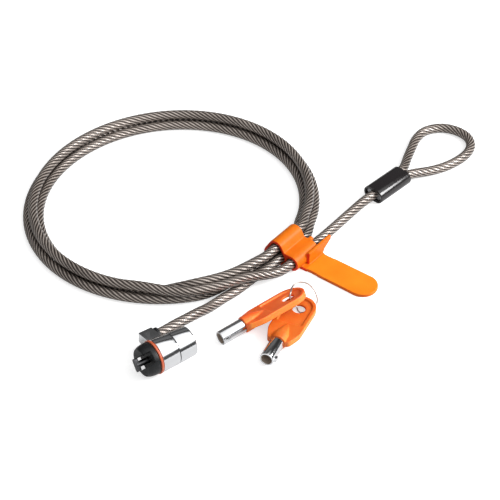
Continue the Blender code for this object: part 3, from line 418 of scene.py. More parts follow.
def arcPoints(centre, radius, start, end, count):
    steps = [start + t for t in spread(end - start, count)]
    return [(centre[0] + radius * math.cos(t), centre[1] + radius * math.sin(t)) for t in steps]


def stadium(halfFlat, radius, count):
    return (arcPoints((halfFlat, 0), radius, -math.pi / 2, math.pi / 2, count)
            + arcPoints((-halfFlat, 0), radius, math.pi / 2, 3 * math.pi / 2, count))


def wrapRound(centres, radius, count=14):
    # the outline of a band stretched round circles, whose centres are given anticlockwise
    outline = []
    for i, centre in enumerate(centres):
        before, after = centres[i - 1], centres[(i + 1) % len(centres)]
        start = math.atan2(centre[1] - before[1], centre[0] - before[0]) - math.pi / 2
        end = math.atan2(after[1] - centre[1], after[0] - centre[0]) - math.pi / 2
        while end < start:
            end += math.tau
        outline += arcPoints(centre, radius, start, end, count)
    return outline


def ease(t):
    t = max(0.0, min(1.0, t))
    return t * t * (3 - 2 * t)


def easeBetween(value, start, end):
    return ease((value - start) / (end - start))


# The cable runs out of the head's arm, through three turns and the tail to the eye.
cablePlan = {
    "diameter": 5.5 * mm, "strands": ropeStrands, "strandRound": 0.36, "layLength": 31.0 * mm, "pointsPerStrand": 6,
    "step": 1.25 * mm, "calmPasses": 2, "grooveDepth": 0.24 * mm, "pitch": 6.2 * mm, "inset": 2.2 * mm,
    "lean": math.radians(112), "radius": 77.6 * mm, "oval": 2.1 * mm, "ovalTurn": math.radians(15), "turns": 3,
    "pointsPerTurn": 220, "strapRun": 9.5 * mm, "strapEase": 26.0 * mm, "liftEase": 46.0 * mm, "swapRise": 1.05 * mm,
    # shares of a turn between which the turns change places
    "swaps": {"outerGoesIn": (0.872, 0.942), "innerRolls": (0.825, 0.885), "innerLifts": (0.855, 0.885),
              "innerSettles": (0.93, 0.97), "topLifts": (0.785, 0.825), "topGoesOver": (0.80, 0.875),
              "topGoesOut": (0.915, 0.965), "topDrops": (0.92, 0.978)},
    # the lead, in mm: out of the arm, over the table, and then before the strap and beside the pile
    "leadOut": (6.5, 13.2),
    "leadPoints": [(-88, -17.9, 10.0), (-80, -16.9, 9.4), (-72, -15.0, 7.8), (-65, -12.6, 5.2), (-58, -9.9, 3.1)],
    "leadJoins": [(49, 9.0), (44, 7.4), (39, 5.8), (34, 4.4), (28, 3.4), (20, 3.1), (12, 3.1)],
    # the tail as shares of the way to the ferrule, with its place across and its height in mm
    "tailPoints": [(0.35, 5.9, 4.8), (0.65, 5.4, 4.6)],
    # the eye, in mm from the ferrule's end and above the table
    "eyePoints": [
        (6.5, 5.9, 3.6), (14.2, 12.3, 2.9), (21.8, 18.0, 2.75), (29.9, 23.7, 2.75), (39.2, 26.9, 2.75),
        (49.3, 23.9, 2.75), (55.0, 16.0, 2.75), (55.9, 7.3, 2.75), (52.1, 0.2, 2.75), (45.2, -4.3, 2.75),
        (37.3, -6.3, 2.75), (27.3, -6.7, 2.75), (16.7, -5.0, 3.0), (9.7, -3.1, 3.6)],
}
strapPlan = {
    "angle": math.radians(17), "length": 18.6 * mm, "wall": 1.6 * mm, "pileAcross": -4.9 * mm,
    "tailAcross": 5.6 * mm, "cellRadius": 3.11 * mm, "ground": 4.71 * mm, "rootAcross": 13.0 * mm, "skin": 0.28 * mm,
    "tongueThick": 2.0 * mm, "tongueWide": 16.8 * mm, "tipAcross": 52.0 * mm, "shift": 3.3 * mm, "hinge": 0.15 * mm,
    # how far the tongue's sides are cut in at its root
    "tongueCuts": [(-1.2 * mm, 0.3 * mm), (2.5 * mm, 0.6 * mm), (9 * mm, 0.15 * mm)], "tongueEdge": 0.45 * mm,
    "finAcross": 10.3 * mm, "finThick": 1.5 * mm, "finStart": -1 * mm, "finFoot": 11.5 * mm,
    "finKnee": (13 * mm, 4 * mm), "finTip": 7.4 * mm, "webThick": 2 * mm, "webLong": 10 * mm, "webDrop": 2.4 * mm,
    "webPlace": -4.2 * mm, "nubRadius": 1.5 * mm, "nubAcross": 3.7 * mm, "nubOut": 2.7 * mm, "nubIn": 2 * mm,
}
headPlan = {"x": -109.2 * mm, "y": -31.1 * mm, "z": 9.1 * mm, "cableOffset": 12.4 * mm, "lugRise": 0.9 * mm}
ferrulePlan = {
    "reach": 67.9 * mm, "reachBearing": math.radians(12.07), "length": 25.4 * mm, "bearing": math.radians(11.6),
    "height": 4.3 * mm, "halfFlat": 2.45 * mm, "round": 4.25 * mm, "wall": 0.8 * mm, "leg": 2.9 * mm, "inlet": 0.9 * mm,
    "endRound": 2.2 * mm, "endWalls": 2 * mm, "cableHole": 2.85 * mm, "holeIn": 3 * mm, "holeOut": 1 * mm,
}
strapAlong = Vector((math.cos(strapPlan["angle"]), math.sin(strapPlan["angle"]), 0))
strapAcross = Vector((math.sin(strapPlan["angle"]), -math.cos(strapPlan["angle"]), 0))
climb = cablePlan["pitch"] * math.sqrt(3) / 2


def strapPoint(run, side, height):
    return strapAlong * run + strapAcross * side + Vector((0, 0, height))


def bearing(angle, length):
    return Vector((math.cos(angle), math.sin(angle), 0)) * length


def turnSection(plan, turn, share):
    # a turn's offset from the pile's middle, and its height: the turns change places just before the strap
    radius, half, pitch = plan["diameter"] / 2, plan["pitch"] / 2, plan["pitch"]
    moved = {name: easeBetween(share, *span) for name, span in plan["swaps"].items()}
    if turn == 0:
        return half - pitch * moved["outerGoesIn"], radius
    if turn == 1:
        roll = math.radians(180 - 60 * moved["innerRolls"])
        rise = plan["swapRise"] * moved["innerLifts"] * (1 - moved["innerSettles"])
        return half + pitch * math.cos(roll), radius + pitch * math.sin(roll) + rise
    top = radius + climb + plan["swapRise"] * moved["topLifts"]
    beyond = strapPlan["tailAcross"] - strapPlan["pileAcross"] - pitch
    return pitch * moved["topGoesOver"] + beyond * moved["topGoesOut"], top + (radius - top) * moved["topDrops"]


def pilePoint(plan, share, offset, height):
    centre = strapPoint(0, strapPlan["pileAcross"], 0) + bearing(plan["lean"], plan["radius"] - plan["inset"])
    angle = plan["lean"] + math.pi + math.tau * share
    radius = plan["radius"] + plan["oval"] * math.cos(2 * (angle - plan["ovalTurn"])) + offset
    loop = centre + bearing(angle, radius)
    away = math.tau * plan["radius"] * min(share, 1 - share)
    hold = 1 - easeBetween(away, plan["strapRun"], plan["strapEase"])
    line = strapAlong * (away if share < 0.5 else -away) + strapAcross * (strapPlan["pileAcross"] + offset)
    point = loop.lerp(line, hold)
    lift = strapPlan["ground"] - plan["diameter"] / 2
    point.z = height + lift * (1 - easeBetween(away, plan["strapRun"], plan["liftEase"]))
    return point


def throughPoints(points, spacing):
    # a Catmull-Rom curve whose pace follows the distance between the points
    ends = [points[0] * 2 - points[1], *points, points[-1] * 2 - points[-2]]
    route = []
    for a, b, c, d in zip(ends, ends[1:], ends[2:], ends[3:]):
        first, span, last = (b - a).length ** 0.5, (c - b).length ** 0.5, (d - c).length ** 0.5
        outward = ((b - a) / first - (c - a) / (first + span) + (c - b) / span) * span
        inward = ((c - b) / span - (d - b) / (span + last) + (d - c) / last) * span
        count = max(2, int((c - b).length / spacing))
        for k in range(count):
            t = k / count
            route.append(b * (2 * t ** 3 - 3 * t ** 2 + 1) + outward * (t ** 3 - 2 * t ** 2 + t)
                         + c * (3 * t ** 2 - 2 * t ** 3) + inward * (t ** 3 - t ** 2))
    return route + [points[-1]]


def ferruleEnds(plan):
    start = bearing(plan["reachBearing"], plan["reach"]) + Vector((0, 0, plan["height"]))
    way = bearing(plan["bearing"], 1)
    return start, start + way * plan["length"], way


def cableRoute(plan):
    axis = Vector((headPlan["x"], headPlan["y"] + headPlan["cableOffset"], headPlan["z"] + headPlan["lugRise"]))
    radius, around, perTurn = plan["diameter"] / 2, math.tau * plan["radius"], plan["pointsPerTurn"]
    ground, across = strapPlan["ground"], strapPlan["tailAcross"]
    lead = [axis + Vector((out, 0, 0)) * mm for out in plan["leadOut"]]
    lead += [Vector(p) * mm for p in plan["leadPoints"]]
    lead += [pilePoint(plan, 1 - away * mm / around, offset * mm, radius) for away, offset in plan["leadJoins"]]
    lead += [strapPoint(-0.3 * mm, strapPlan["pileAcross"] + plan["pitch"] / 2, ground)]
    coil = [pilePoint(plan, k / perTurn, *turnSection(plan, turn, k / perTurn))
            for turn in range(plan["turns"]) for k in range(perTurn)]
    start, end, way = ferruleEnds(ferrulePlan)
    leg = Vector((-way.y, way.x, 0)) * ferrulePlan["leg"]
    tail = [strapPoint(0, across, ground), strapPoint(10 * mm, across, ground)]
    tail += [strapPoint(share * ferrulePlan["reach"], side * mm, height * mm)
             for share, side, height in plan["tailPoints"]]
    tail += [start - way * 8 * mm, start + way * 2 * mm, start.lerp(end, 0.3), start.lerp(end, 0.7) + leg * 0.8]
    eye = [end + leg - way * 2 * mm, end + leg + way * 3.5 * mm]
    eye += [Vector((end.x + x * mm, end.y + y * mm, z * mm)) for x, y, z in plan["eyePoints"]]
    eye += [end - leg + way * 3.5 * mm, end - leg - way * ferrulePlan["inlet"]]
    return throughPoints(lead, 1 * mm)[:-1] + coil + throughPoints(tail + eye, 1 * mm)


def evenSteps(route, step, calmPasses):
    # reads the route at equal distances, and takes the last small kinks out
    marks = [0.0]
    for a, b in zip(route, route[1:]):
        marks.append(marks[-1] + (b - a).length)
    count = round(marks[-1] / step)
    even, k = [], 0
    for i in range(count + 1):
        goal = marks[-1] * i / count
        while k < len(marks) - 2 and marks[k + 1] < goal:
            k += 1
        span = marks[k + 1] - marks[k]
        even.append(route[k].lerp(route[k + 1], (goal - marks[k]) / span if span > 0 else 0))
    for _ in range(calmPasses):
        calm = [a * 0.25 + b * 0.5 + c * 0.25 for a, b, c in zip(even, even[1:], even[2:])]
        even = [even[0]] + calm + [even[-1]]
    return even


def layRope(plan):
    route = evenSteps(cableRoute(plan), plan["step"], plan["calmPasses"])
    strands, perStrand = plan["strands"], plan["pointsPerStrand"]
    around = strands * perStrand
    outer = plan["diameter"] / 2
    # each strand's round back, cut off at the depth where the jacket bridges the groove
    strandRadius = outer * plan["strandRound"]
    lobe = []
    for i in range(around):
        swing = ((i / perStrand + 0.5) % 1.0 - 0.5) * math.tau / strands
        reach = (outer - strandRadius) * math.cos(swing)
        off = strandRadius ** 2 - ((outer - strandRadius) * math.sin(swing)) ** 2
        lobe.append(max(outer - plan["grooveDepth"], reach + math.sqrt(max(off, 0.0))))
    verts, lays, travelled = [], [], 0.0
    way = (route[1] - route[0]).normalized()
    side = way.orthogonal().normalized()
    for i, here in enumerate(route):
        ahead = (route[min(i + 1, len(route) - 1)] - route[max(i - 1, 0)]).normalized()
        side = way.rotation_difference(ahead) @ side
        side = (side - ahead * side.dot(ahead)).normalized()
        way = ahead
        up = way.cross(side)
        if i:
            travelled += (here - route[i - 1]).length
        lays.append(travelled / plan["layLength"])
        for k in range(around):
            angle = math.tau * k / around + math.tau * travelled / plan["layLength"]
            verts.append(here + (side * math.cos(angle) + up * math.sin(angle)) * lobe[k])
    faces = []
    for i in range(len(route) - 1):
        for k in range(around):
            n = (k + 1) % around
            faces.append((i * around + k, i * around + n, (i + 1) * around + n, (i + 1) * around + k))
    faces.append(tuple(reversed(range(around))))
    faces.append(tuple((len(route) - 1) * around + k for k in range(around)))
    mesh = bpy.data.meshes.new("wireRope")
    mesh.from_pydata(verts, [], faces)
    layer = mesh.uv_layers.new(name="ropeLay")
    for face in mesh.polygons:
        corners = [mesh.loops[j].vertex_index for j in face.loop_indices]
        ends = max(c % around for c in corners) == around - 1 and min(c % around for c in corners) == 0
        for j, corner in zip(face.loop_indices, corners):
            k = corner % around
            if ends and k == 0:
                k = around
            layer.data[j].uv = (k / perStrand, lays[corner // around])
    mesh.materials.append(finishes["rope"])
    tidyShading(mesh, 60)
    rope = newItem("wireRope", mesh)
    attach(rope, "cable")
    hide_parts("cable_lead", "cable_coil", "cable_tail", "cable_eye")
    print(f"cable laid: {travelled:.3f} m, {len(faces)} faces")


def fitSleeve(plan):
    # a vinyl sleeve with rounded, nearly closed ends over the oval crimp; each cable passes its own hole
    start, end, _ = ferruleEnds(plan)
    lie = Matrix.LocRotScale((start + end) / 2, Euler((math.pi / 2, 0, plan["bearing"] + math.pi / 2)), None)
    half, leg = plan["length"] / 2, plan["leg"]
    sleeve = plate("sleeveForm", [stadium(plan["halfFlat"], plan["round"], 24)], plan["length"], lie)
    softEdges(sleeve, plan["endRound"], 6)
    hollow = stadium(plan["halfFlat"], plan["round"] - plan["wall"], 20)
    shapeWith(sleeve, "DIFFERENCE", plate("sleeveHollow", [hollow], plan["length"] - plan["endWalls"], lie))
    tailSpan = (half - plan["holeIn"], half + plan["holeOut"])
    eyeSpan = (-half - plan["holeOut"], plan["holeIn"] - half)
    for across, span in ((0, tailSpan), (leg, eyeSpan), (-leg, eyeSpan)):
        hole = rodProfile(plan["cableHole"], *span)
        shapeWith(sleeve, "DIFFERENCE", lathe("cableHole", hole, 40, shifted(lie, across, 0, 0)))
    settle(sleeve, "crimpSleeve", "sleeve", "cable", "ferrule_cover")


fitSleeve(ferrulePlan)
layRope(cablePlan)


# The moulded strap is drawn in its own section: across, then up.
def mouldStrap(plan, cable):
    lie = Matrix.LocRotScale(Vector(), Euler((math.pi / 2, 0, plan["angle"] - math.pi / 2)), None)
    length, ground, tail, root = plan["length"], plan["ground"], plan["tailAcross"], plan["rootAcross"]
    pile, pitch, fin = plan["pileAcross"], cable["pitch"], plan["finAcross"]
    wall = plan["cellRadius"] + plan["wall"]
    crest, thick = ground + wall, plan["tongueThick"]
    outer = (pile + pitch / 2, ground)
    turns = [(pile - pitch / 2, ground), outer, (pile, ground + climb)]
    band = plate("strapBandForm", [wrapRound(turns, wall)], length, lie)
    finStart, low = plan["finStart"], 0.5 * thick
    finSide = [(finStart, low), (plan["finFoot"], low), plan["finKnee"], (length, plan["finTip"]),
               (length, crest + 0.4 * mm), (finStart, crest - 0.2 * mm)]
    nub = rodProfile(plan["nubRadius"], -length / 2 - plan["nubOut"], -length / 2 + plan["nubIn"])
    shapeWith(
        band, "UNION",
        plate("tailLobe", [wrapRound([outer, (tail, ground)], wall)], length - 0.02 * mm, lie),
        box("strapRoot", (root - tail, thick, plan["tongueWide"]),
            shifted(lie, (tail + root) / 2, thick / 2, -plan["shift"])),
        plate("strapFin", [finSide], plan["finThick"],
              turned(shifted(lie, fin + plan["finThick"] / 2, 0, 0), math.pi / 2, "Y")),
        box("finWeb", (fin - tail, plan["webThick"], plan["webLong"]),
            shifted(lie, (fin + tail) / 2 + 0.1 * mm, crest - plan["webDrop"], plan["webPlace"])),
        lathe("strapNub", nub, 40, shifted(lie, plan["nubAcross"], crest - plan["nubRadius"] - 0.1 * mm, 0)))
    shapeWith(
        band, "DIFFERENCE",
        plate("pileCell", [wrapRound(turns, plan["cellRadius"])], 2 * length, lie),
        lathe("tailCell", rodProfile(plan["cellRadius"], -length, length), 40, shifted(lie, tail, ground, 0)))
    moulded(band, plan["skin"], 4)
    settle(band, "strapBand", "strap", "cable", "strap_band", 60)

    # the tongue is moulded in one piece with the strap; it is made flat, from its root
    hinge = strapPoint(0, root + plan["hinge"], thick)
    wide = plan["tongueWide"] / 2
    outline = [(along, cut - wide) for along, cut in plan["tongueCuts"]]
    outline += arcPoints((plan["tipAcross"] - root - wide, 0), wide, -math.pi / 2, math.pi / 2, 36)
    outline += [(along, wide - cut) for along, cut in reversed(plan["tongueCuts"])]
    lieTongue = Matrix.LocRotScale(hinge, Euler((0, 0, plan["angle"] - math.pi / 2)), None)
    tongue = plate("tongueForm", [outline], thick - 0.02 * mm, shifted(lieTongue, 0, plan["shift"], -thick / 2))
    softEdges(tongue, plan["tongueEdge"], 3)
    moulded(tongue, 0.3 * mm, 3)
    piece = settle(tongue, "strapTongue", "tongue", None, "strap_tongue", 60)
    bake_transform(piece)


mouldStrap(strapPlan, cablePlan)
print("cable, sleeve and strap made")


# The lock head's own Z is the barrel's axis, rearward, and its -X is up.
barrelPlan = {
    "radius": 8.94 * mm, "taper": 0.0437, "neck": 7.0 * mm, "bore": 6.0 * mm, "gap": 0.3 * mm,
    "collarFront": 0.9 * mm, "collarBack": 10.9 * mm, "collarEdge": 0.4 * mm, "shellFront": 11.2 * mm,
    "shellBack": 21.5 * mm, "shellEdge": 0.7 * mm, "rearWall": 2.0 * mm, "keyway": 4.1 * mm, "notchReach": 5.2 * mm,
    "notchWide": 2.1 * mm, "lugLength": 8.0 * mm, "lugRoot": 5 * mm, "lugReach": 16.2 * mm, "lugTipHalf": 2.95 * mm,
    "lugFlare": 0.1875, "lugEdge": 0.6 * mm, "cableBore": 3.05 * mm, "stopFront": 2.7 * mm, "pinRadius": 0.9 * mm,
    "pinPlace": 4.45 * mm, "pinPlay": 0.03 * mm, "bushWall": 0.65 * mm, "bushLength": 1.5 * mm,
    "trimRadius": 9.1 * mm, "trimHalf": 0.6 * mm, "sides": 128,
}
nosePlan = {
    "back": -0.9 * mm, "floorBack": -2.4 * mm, "floorFront": -3.4 * mm, "padFront": -7.6 * mm, "radius": 8.7 * mm,
    "frontRadius": 7.2 * mm, "plateRadius": 7.6 * mm, "gap": 0.3 * mm, "channel": 6.6 * mm,
    "channelAngle": math.radians(-50), "channelDepth": 8.2 * mm, "channelLong": 26 * mm, "edge": 0.28 * mm,
    "shaft": 1.6 * mm, "shaftBack": 13.8 * mm, "barBack": -8.9 * mm, "barFront": -11.1 * mm, "barLength": 7.0 * mm,
    "barWidth": 2.4 * mm, "barAngle": math.radians(54), "barEdge": 0.35 * mm,
}
headLie = Matrix.LocRotScale(Vector((headPlan["x"], headPlan["y"], headPlan["z"])), Euler((0, math.pi / 2, 0)), None)
socketLie = shifted(headLie, -headPlan["lugRise"], headPlan["cableOffset"], 0)


def barrelRadius(plan, place):
    return plan["radius"] - plan["taper"] * place


def armHalf(plan, reach):
    return plan["lugTipHalf"] + plan["lugFlare"] * (plan["lugReach"] - reach)


def turnBarrel(plan):
    # the rear shell, with its keyway and the notch that the key's nib passes
    front, rear, edge = plan["shellFront"], plan["shellBack"], plan["shellEdge"]
    back, wall, neckEnd = barrelRadius(plan, rear), rear - plan["rearWall"], -plan["trimHalf"]
    outside = [(back - edge, rear), (back - 0.3 * edge, rear - 0.25 * edge), (back, rear - edge),
               (barrelRadius(plan, front), front), (plan["neck"], front), (plan["neck"], neckEnd),
               (plan["bore"], neckEnd), (plan["bore"], wall), (plan["keyway"], wall), (plan["keyway"], rear)]
    shell = lathe("shellForm", roundCorners(outside, 0.22 * mm, 2), plan["sides"], headLie)
    shapeWith(shell, "DIFFERENCE", box(
        "nibNotch", (plan["notchReach"], plan["notchWide"], plan["rearWall"] + 2 * mm),
        shifted(headLie, -plan["notchReach"] / 2, 0, rear - plan["rearWall"] / 2)))
    settle(shell, "rearShell", "chrome", "head", "lock_housing", 28)


def castCollar(plan):
    # the swivel collar and its arm are one casting, so they share soft edges
    front, back, armBack = plan["collarFront"], plan["collarBack"], plan["collarFront"] + plan["lugLength"]
    inner = plan["neck"] + plan["gap"]
    hoop = [(barrelRadius(plan, back), back), (barrelRadius(plan, front), front), (inner, front), (inner, back)]
    collar = lathe("collarForm", roundCorners(hoop, plan["collarEdge"], 3), plan["sides"], headLie)
    root, tip = plan["lugRoot"], plan["lugReach"]
    outline = [(-(headPlan["lugRise"] + sign * armHalf(plan, reach)), reach)
               for reach, sign in ((root, 1), (root, -1), (tip, -1), (tip, 1))]
    arm = plate("armForm", [outline], plan["lugLength"], shifted(headLie, 0, 0, front + plan["lugLength"] / 2))
    softEdges(arm, plan["lugEdge"], 4)
    shapeWith(collar, "UNION", arm)
    pinLie = turned(shifted(socketLie, 0, 0, plan["pinPlace"]), math.pi / 2, "Y")
    socket = rodProfile(plan["cableBore"], plan["stopFront"] - plan["gap"], armBack + 1 * mm)
    drill = rodProfile(plan["pinRadius"] + plan["pinPlay"], -6 * mm, 6 * mm)
    shapeWith(collar, "DIFFERENCE", lathe("neckBore", rodProfile(inner, 0, 12 * mm), plan["sides"], headLie),
              lathe("cableSocket", socket, 48, socketLie), lathe("pinDrill", drill, 40, pinLie))
    settle(collar, "swivelCollar", "chrome", "cable", "swivel_collar", 28)

    # the cross pin is ground flush with the arm
    pinHalf = armHalf(plan, headPlan["cableOffset"]) - 0.03 * mm
    rod = rodProfile(plan["pinRadius"], -pinHalf, pinHalf)
    pin = lathe("pinForm", roundCorners(rod, 0.08 * mm, 1, closed=False), 40, pinLie)
    settle(pin, "armPin", "chrome", "cable", "arm_cross_pin")

    bore, outer = plan["cableBore"], plan["cableBore"] + plan["bushWall"]
    bushBack = armBack + plan["gap"] + plan["bushLength"]
    bushFront = bushBack - plan["bushLength"]
    boss = [(outer, bushBack), (outer, bushFront), (bore, bushFront), (bore, bushBack)]
    bush = lathe("bushForm", roundCorners(boss, 0.3 * mm, 3), 48, socketLie)
    settle(bush, "exitBoss", "black", "cable", "cable_exit_bush")


def turnTrimRing(plan):
    radius, half, inner = plan["trimRadius"], plan["trimHalf"], plan["neck"] + plan["gap"]
    hoop = [(radius, half), (radius, -half), (inner, -half), (inner, half)]
    ring = lathe("trimForm", roundCorners(hoop, 0.3 * mm, 4), plan["sides"], headLie)
    settle(ring, "trimRing", "ring", "head", "accent_ring")


def mouldNose(plan):
    # a deep cap whose wide channel leaves two pads standing; the T-bar stands in the channel
    radius, front, back, tip = plan["radius"], plan["frontRadius"], plan["back"], plan["padFront"]
    floor, bore, room = plan["floorBack"], plan["shaft"] + plan["gap"], plan["plateRadius"] + plan["gap"]
    cap = [(radius, back), (radius - 0.1 * mm, back - 2.6 * mm), ((radius + front) / 2 + 0.3 * mm, tip + 2.0 * mm),
           (front + 0.4 * mm, tip + 0.4 * mm), (front, tip), (bore, tip), (bore, floor), (room, floor), (room, back)]
    nose = lathe("noseForm", roundCorners(cap, 0.25 * mm, 2), 128, headLie)
    depth = plan["channelDepth"]
    channelLie = shifted(headLie, 0, 0, plan["floorFront"] - depth / 2)
    shapeWith(nose, "DIFFERENCE", box("noseChannel", (plan["channelLong"], plan["channel"], depth),
                                      turned(channelLie, plan["channelAngle"] + math.pi / 2, "Z")))
    softEdges(nose, plan["edge"], 3, 40)
    settle(nose, "noseCap", "black", "head", "nose_bumper", 30)

    width, barBack, barFront = plan["barWidth"], plan["barBack"], plan["barFront"]
    barLie = turned(shifted(headLie, 0, 0, (barBack + barFront) / 2), plan["barAngle"] + math.pi / 2, "Z")
    bar = plate("barForm", [stadium((plan["barLength"] - width) / 2, width / 2, 16)], barBack - barFront, barLie)
    softEdges(bar, plan["barEdge"], 3)
    shaft = rodProfile(plan["shaft"], barFront + 0.6 * mm, plan["shaftBack"])
    shapeWith(bar, "UNION", lathe("shaftForm", shaft, 48, headLie))
    settle(bar, "anchorBar", "anchor", "core", "t_bar", 30)


turnBarrel(barrelPlan)
castCollar(barrelPlan)
turnTrimRing(barrelPlan)
mouldNose(nosePlan)
print("head made")


# A key's X runs from the hole in the bow towards the bow's end.
keyPlan = {
    "outer": 3.85 * mm, "inner": 2.95 * mm, "mouth": -43.5 * mm, "boreDepth": 8.0 * mm, "shank": 3.2 * mm,
    "shankLength": 4.8 * mm, "seatPlay": 0.3 * mm, "shoulder": 0.6 * mm, "nibWide": 2.0 * mm, "nibHigh": 1.1 * mm,
    "nibLong": 3.0 * mm, "nibPlace": 0.8 * mm, "front": -28.9 * mm, "frontHalf": 6.5 * mm, "flare": 10.0 * mm,
    "corner": 2.8 * mm, "cornerTurn": math.radians(70), "half": 8.9 * mm, "end": 9.8 * mm, "thick": 3.4 * mm,
    "edge": 1.0 * mm, "hole": 3.4 * mm, "boss": 4.45 * mm, "bossLength": 4.6 * mm, "bossTaper": 10.6 * mm,
    "sunk": 1.0 * mm, "rim": 2.0 * mm, "panelFront": -13.2 * mm, "panelCut": 0.6 * mm, "skin": 0.25 * mm,
}
keyPlaces = {
    "a": (Vector((-27.8, -33.6, 8.5)) * mm, (math.radians(-25), math.radians(-6.1), math.radians(0.8))),
    "b": (Vector((-24.7, -39.2, 3.53)) * mm, (0.0, math.radians(2.55), math.radians(31.5))),
}


def ovalEnd(reach, half, count):
    return [(reach * math.sin(t), half * math.cos(t)) for t in spread(math.pi, count)]


def bowOutline(plan):
    front, frontHalf, half = plan["front"], plan["frontHalf"], plan["half"]
    corner, turn = plan["corner"], plan["cornerTurn"]
    flare = [(front + plan["flare"] * t, frontHalf + (half - frontHalf) * ease(t))
             for t in [0.5 + i / 8 for i in range(5)]]
    # the corner's arc runs out into the slope at the flare's middle
    along = corner * (1 - math.cos(turn))
    middle = flare[0][1] - (plan["flare"] / 2 - along) / math.tan(turn) - corner * math.sin(turn)
    arc = [(front + corner * (1 - math.cos(t)), middle + corner * math.sin(t)) for t in spread(turn, 10)]
    upper = arc + flare
    return upper + ovalEnd(plan["end"], half, 40) + [(x, -y) for x, y in reversed(upper)]


def mouldKey(letter, plan):
    place, turn = keyPlaces[letter]
    lie = Matrix.LocRotScale(place, Euler(turn), None)
    lying = turned(lie, math.pi / 2, "Y")
    front, boss, mouth, outer, inner = plan["front"], plan["boss"], plan["mouth"], plan["outer"], plan["inner"]
    hole = arcPoints((0, 0), plan["hole"], 0, math.tau, 40)[:-1]
    bow = plate("bowForm", [bowOutline(plan), hole], plan["thick"], lie)
    softEdges(bow, plan["edge"], 4)
    bossBack = front + plan["bossLength"]
    bossEnd = bossBack + plan["bossTaper"]
    bossSide = [(0, bossEnd), (0.3 * boss, bossEnd), (boss, bossBack), (boss, front),
                (boss - 0.3 * mm, front - 0.3 * mm), (0, front - 0.3 * mm)]
    shapeWith(bow, "UNION", lathe("bossForm", bossSide, 64, lying))
    # a sunk panel inside the rim on both faces, left bare
    half, start, cut = plan["half"] - plan["rim"], plan["panelFront"], plan["panelFront"] - plan["panelCut"]
    panel = ovalEnd(plan["end"] - plan["rim"], half, 30)
    panel += [(start, -half), (cut, -half + 1 * mm), (cut, half - 1 * mm), (start, half)]
    for face in (1, -1):
        faceLie = shifted(lie, 0, 0, face * plan["thick"] / 2)
        shapeWith(bow, "DIFFERENCE", plate("panelTool", [panel], 2 * plan["sunk"], faceLie))
    moulded(bow, plan["skin"], 8)
    shank, shankEnd, play = plan["shank"], front + plan["shankLength"], plan["seatPlay"]
    seat = rodProfile(shank + play, front - 1 * mm, shankEnd + play)
    shapeWith(bow, "DIFFERENCE", lathe("seatTool", seat, 64, lying))
    key, body, capital = f"key{letter.upper()}", f"key_{letter}", letter.upper()
    settle(bow, f"{key}Bow", f"bow{capital}", body, f"{body}_bow", 50)

    shoulder, boreEnd = front - plan["shoulder"], mouth + plan["boreDepth"]
    barrel = [(0, shankEnd), (shank, shankEnd), (shank, shoulder), (outer, shoulder), (outer, mouth), (inner, mouth),
              (inner, boreEnd), (0, boreEnd)]
    tube = lathe("tubeForm", roundCorners(barrel, 0.28 * mm, 3, closed=False), 96, lying)
    low, high = (outer + inner) / 2, outer + plan["nibHigh"]
    nib = box("nibForm", (plan["nibLong"], high - low, plan["nibWide"]),
              shifted(lie, mouth + plan["nibPlace"] + plan["nibLong"] / 2, -(high + low) / 2, 0))
    softEdges(nib, 0.2 * mm, 2)
    shapeWith(tube, "UNION", nib)
    piece = settle(tube, f"{key}Tube", "chrome", body, f"{body}_tube", 30)
    # the bore isn't plated
    piece.data.materials.append(finishes["bore"])
    toKey = lie.inverted()
    for face in piece.data.polygons:
        spot = toKey @ face.center
        if math.hypot(spot.y, spot.z) < inner + 0.05 * mm and spot.x < boreEnd + 0.1 * mm:
            face.material_index = 1


ringPlan = {
    "wire": {"Wire radius": 0.45 * mm, "Wire sides": 16, "Spacing": 0.5 * mm},
    "points": [(-25.0, -39.4, 2.6), (-25.4, -38.1, 5.0), (-26.1, -36.6, 6.6), (-26.9, -35.2, 8.2), (-27.0, -34.2, 9.8),
               (-25.9, -33.2, 11.4), (-24.3, -31.6, 11.3), (-21.5, -28.8, 10.3), (-18.6, -27.5, 9.9),
               (-15.4, -27.8, 9.8), (-12.3, -30.4, 8.9), (-11.0, -34.1, 6.6), (-11.2, -37.1, 3.8), (-12.6, -38.7, 1.6),
               (-15.8, -39.6, 0.6), (-19.4, -39.7, 0.6), (-22.7, -40.0, 0.9)],
}


def sweepTree(name, finish):
    # Geometry Nodes: smooths a closed line of points and sweeps a round wire along it
    tree = bpy.data.node_groups.new(name, "GeometryNodeTree")
    tree.interface.new_socket("Geometry", in_out="INPUT", socket_type="NodeSocketGeometry")
    sockets = {}
    for title, kind in (("Wire radius", "Float"), ("Wire sides", "Int"), ("Spacing", "Float")):
        sockets[title] = tree.interface.new_socket(title, in_out="INPUT", socket_type=f"NodeSocket{kind}").identifier
    tree.interface.new_socket("Geometry", in_out="OUTPUT", socket_type="NodeSocketGeometry")
    given = addNode(tree, "NodeGroupInput").outputs
    line = addNode(tree, "GeometryNodeMeshToCurve", inputs={0: given["Geometry"]})
    curve = addNode(tree, "GeometryNodeCurveSplineType", {"spline_type": "CATMULL_ROM"}, {0: line})
    fine = addNode(tree, "GeometryNodeSetSplineResolution", inputs={0: curve, "Resolution": 12})
    even = addNode(tree, "GeometryNodeResampleCurve", {"mode": "LENGTH"}, {0: fine, "Length": given["Spacing"]})
    section = addNode(tree, "GeometryNodeCurvePrimitiveCircle",
                      inputs={"Resolution": given["Wire sides"], "Radius": given["Wire radius"]})
    swept = addNode(tree, "GeometryNodeCurveToMesh", inputs={"Curve": even, "Profile Curve": section})
    real = addNode(tree, "GeometryNodeRealizeInstances", inputs={0: swept})
    dressed = addNode(tree, "GeometryNodeSetMaterial", inputs={0: real, "Material": finishes[finish]})
    addNode(tree, "NodeGroupOutput", inputs={0: dressed})
    return tree, sockets


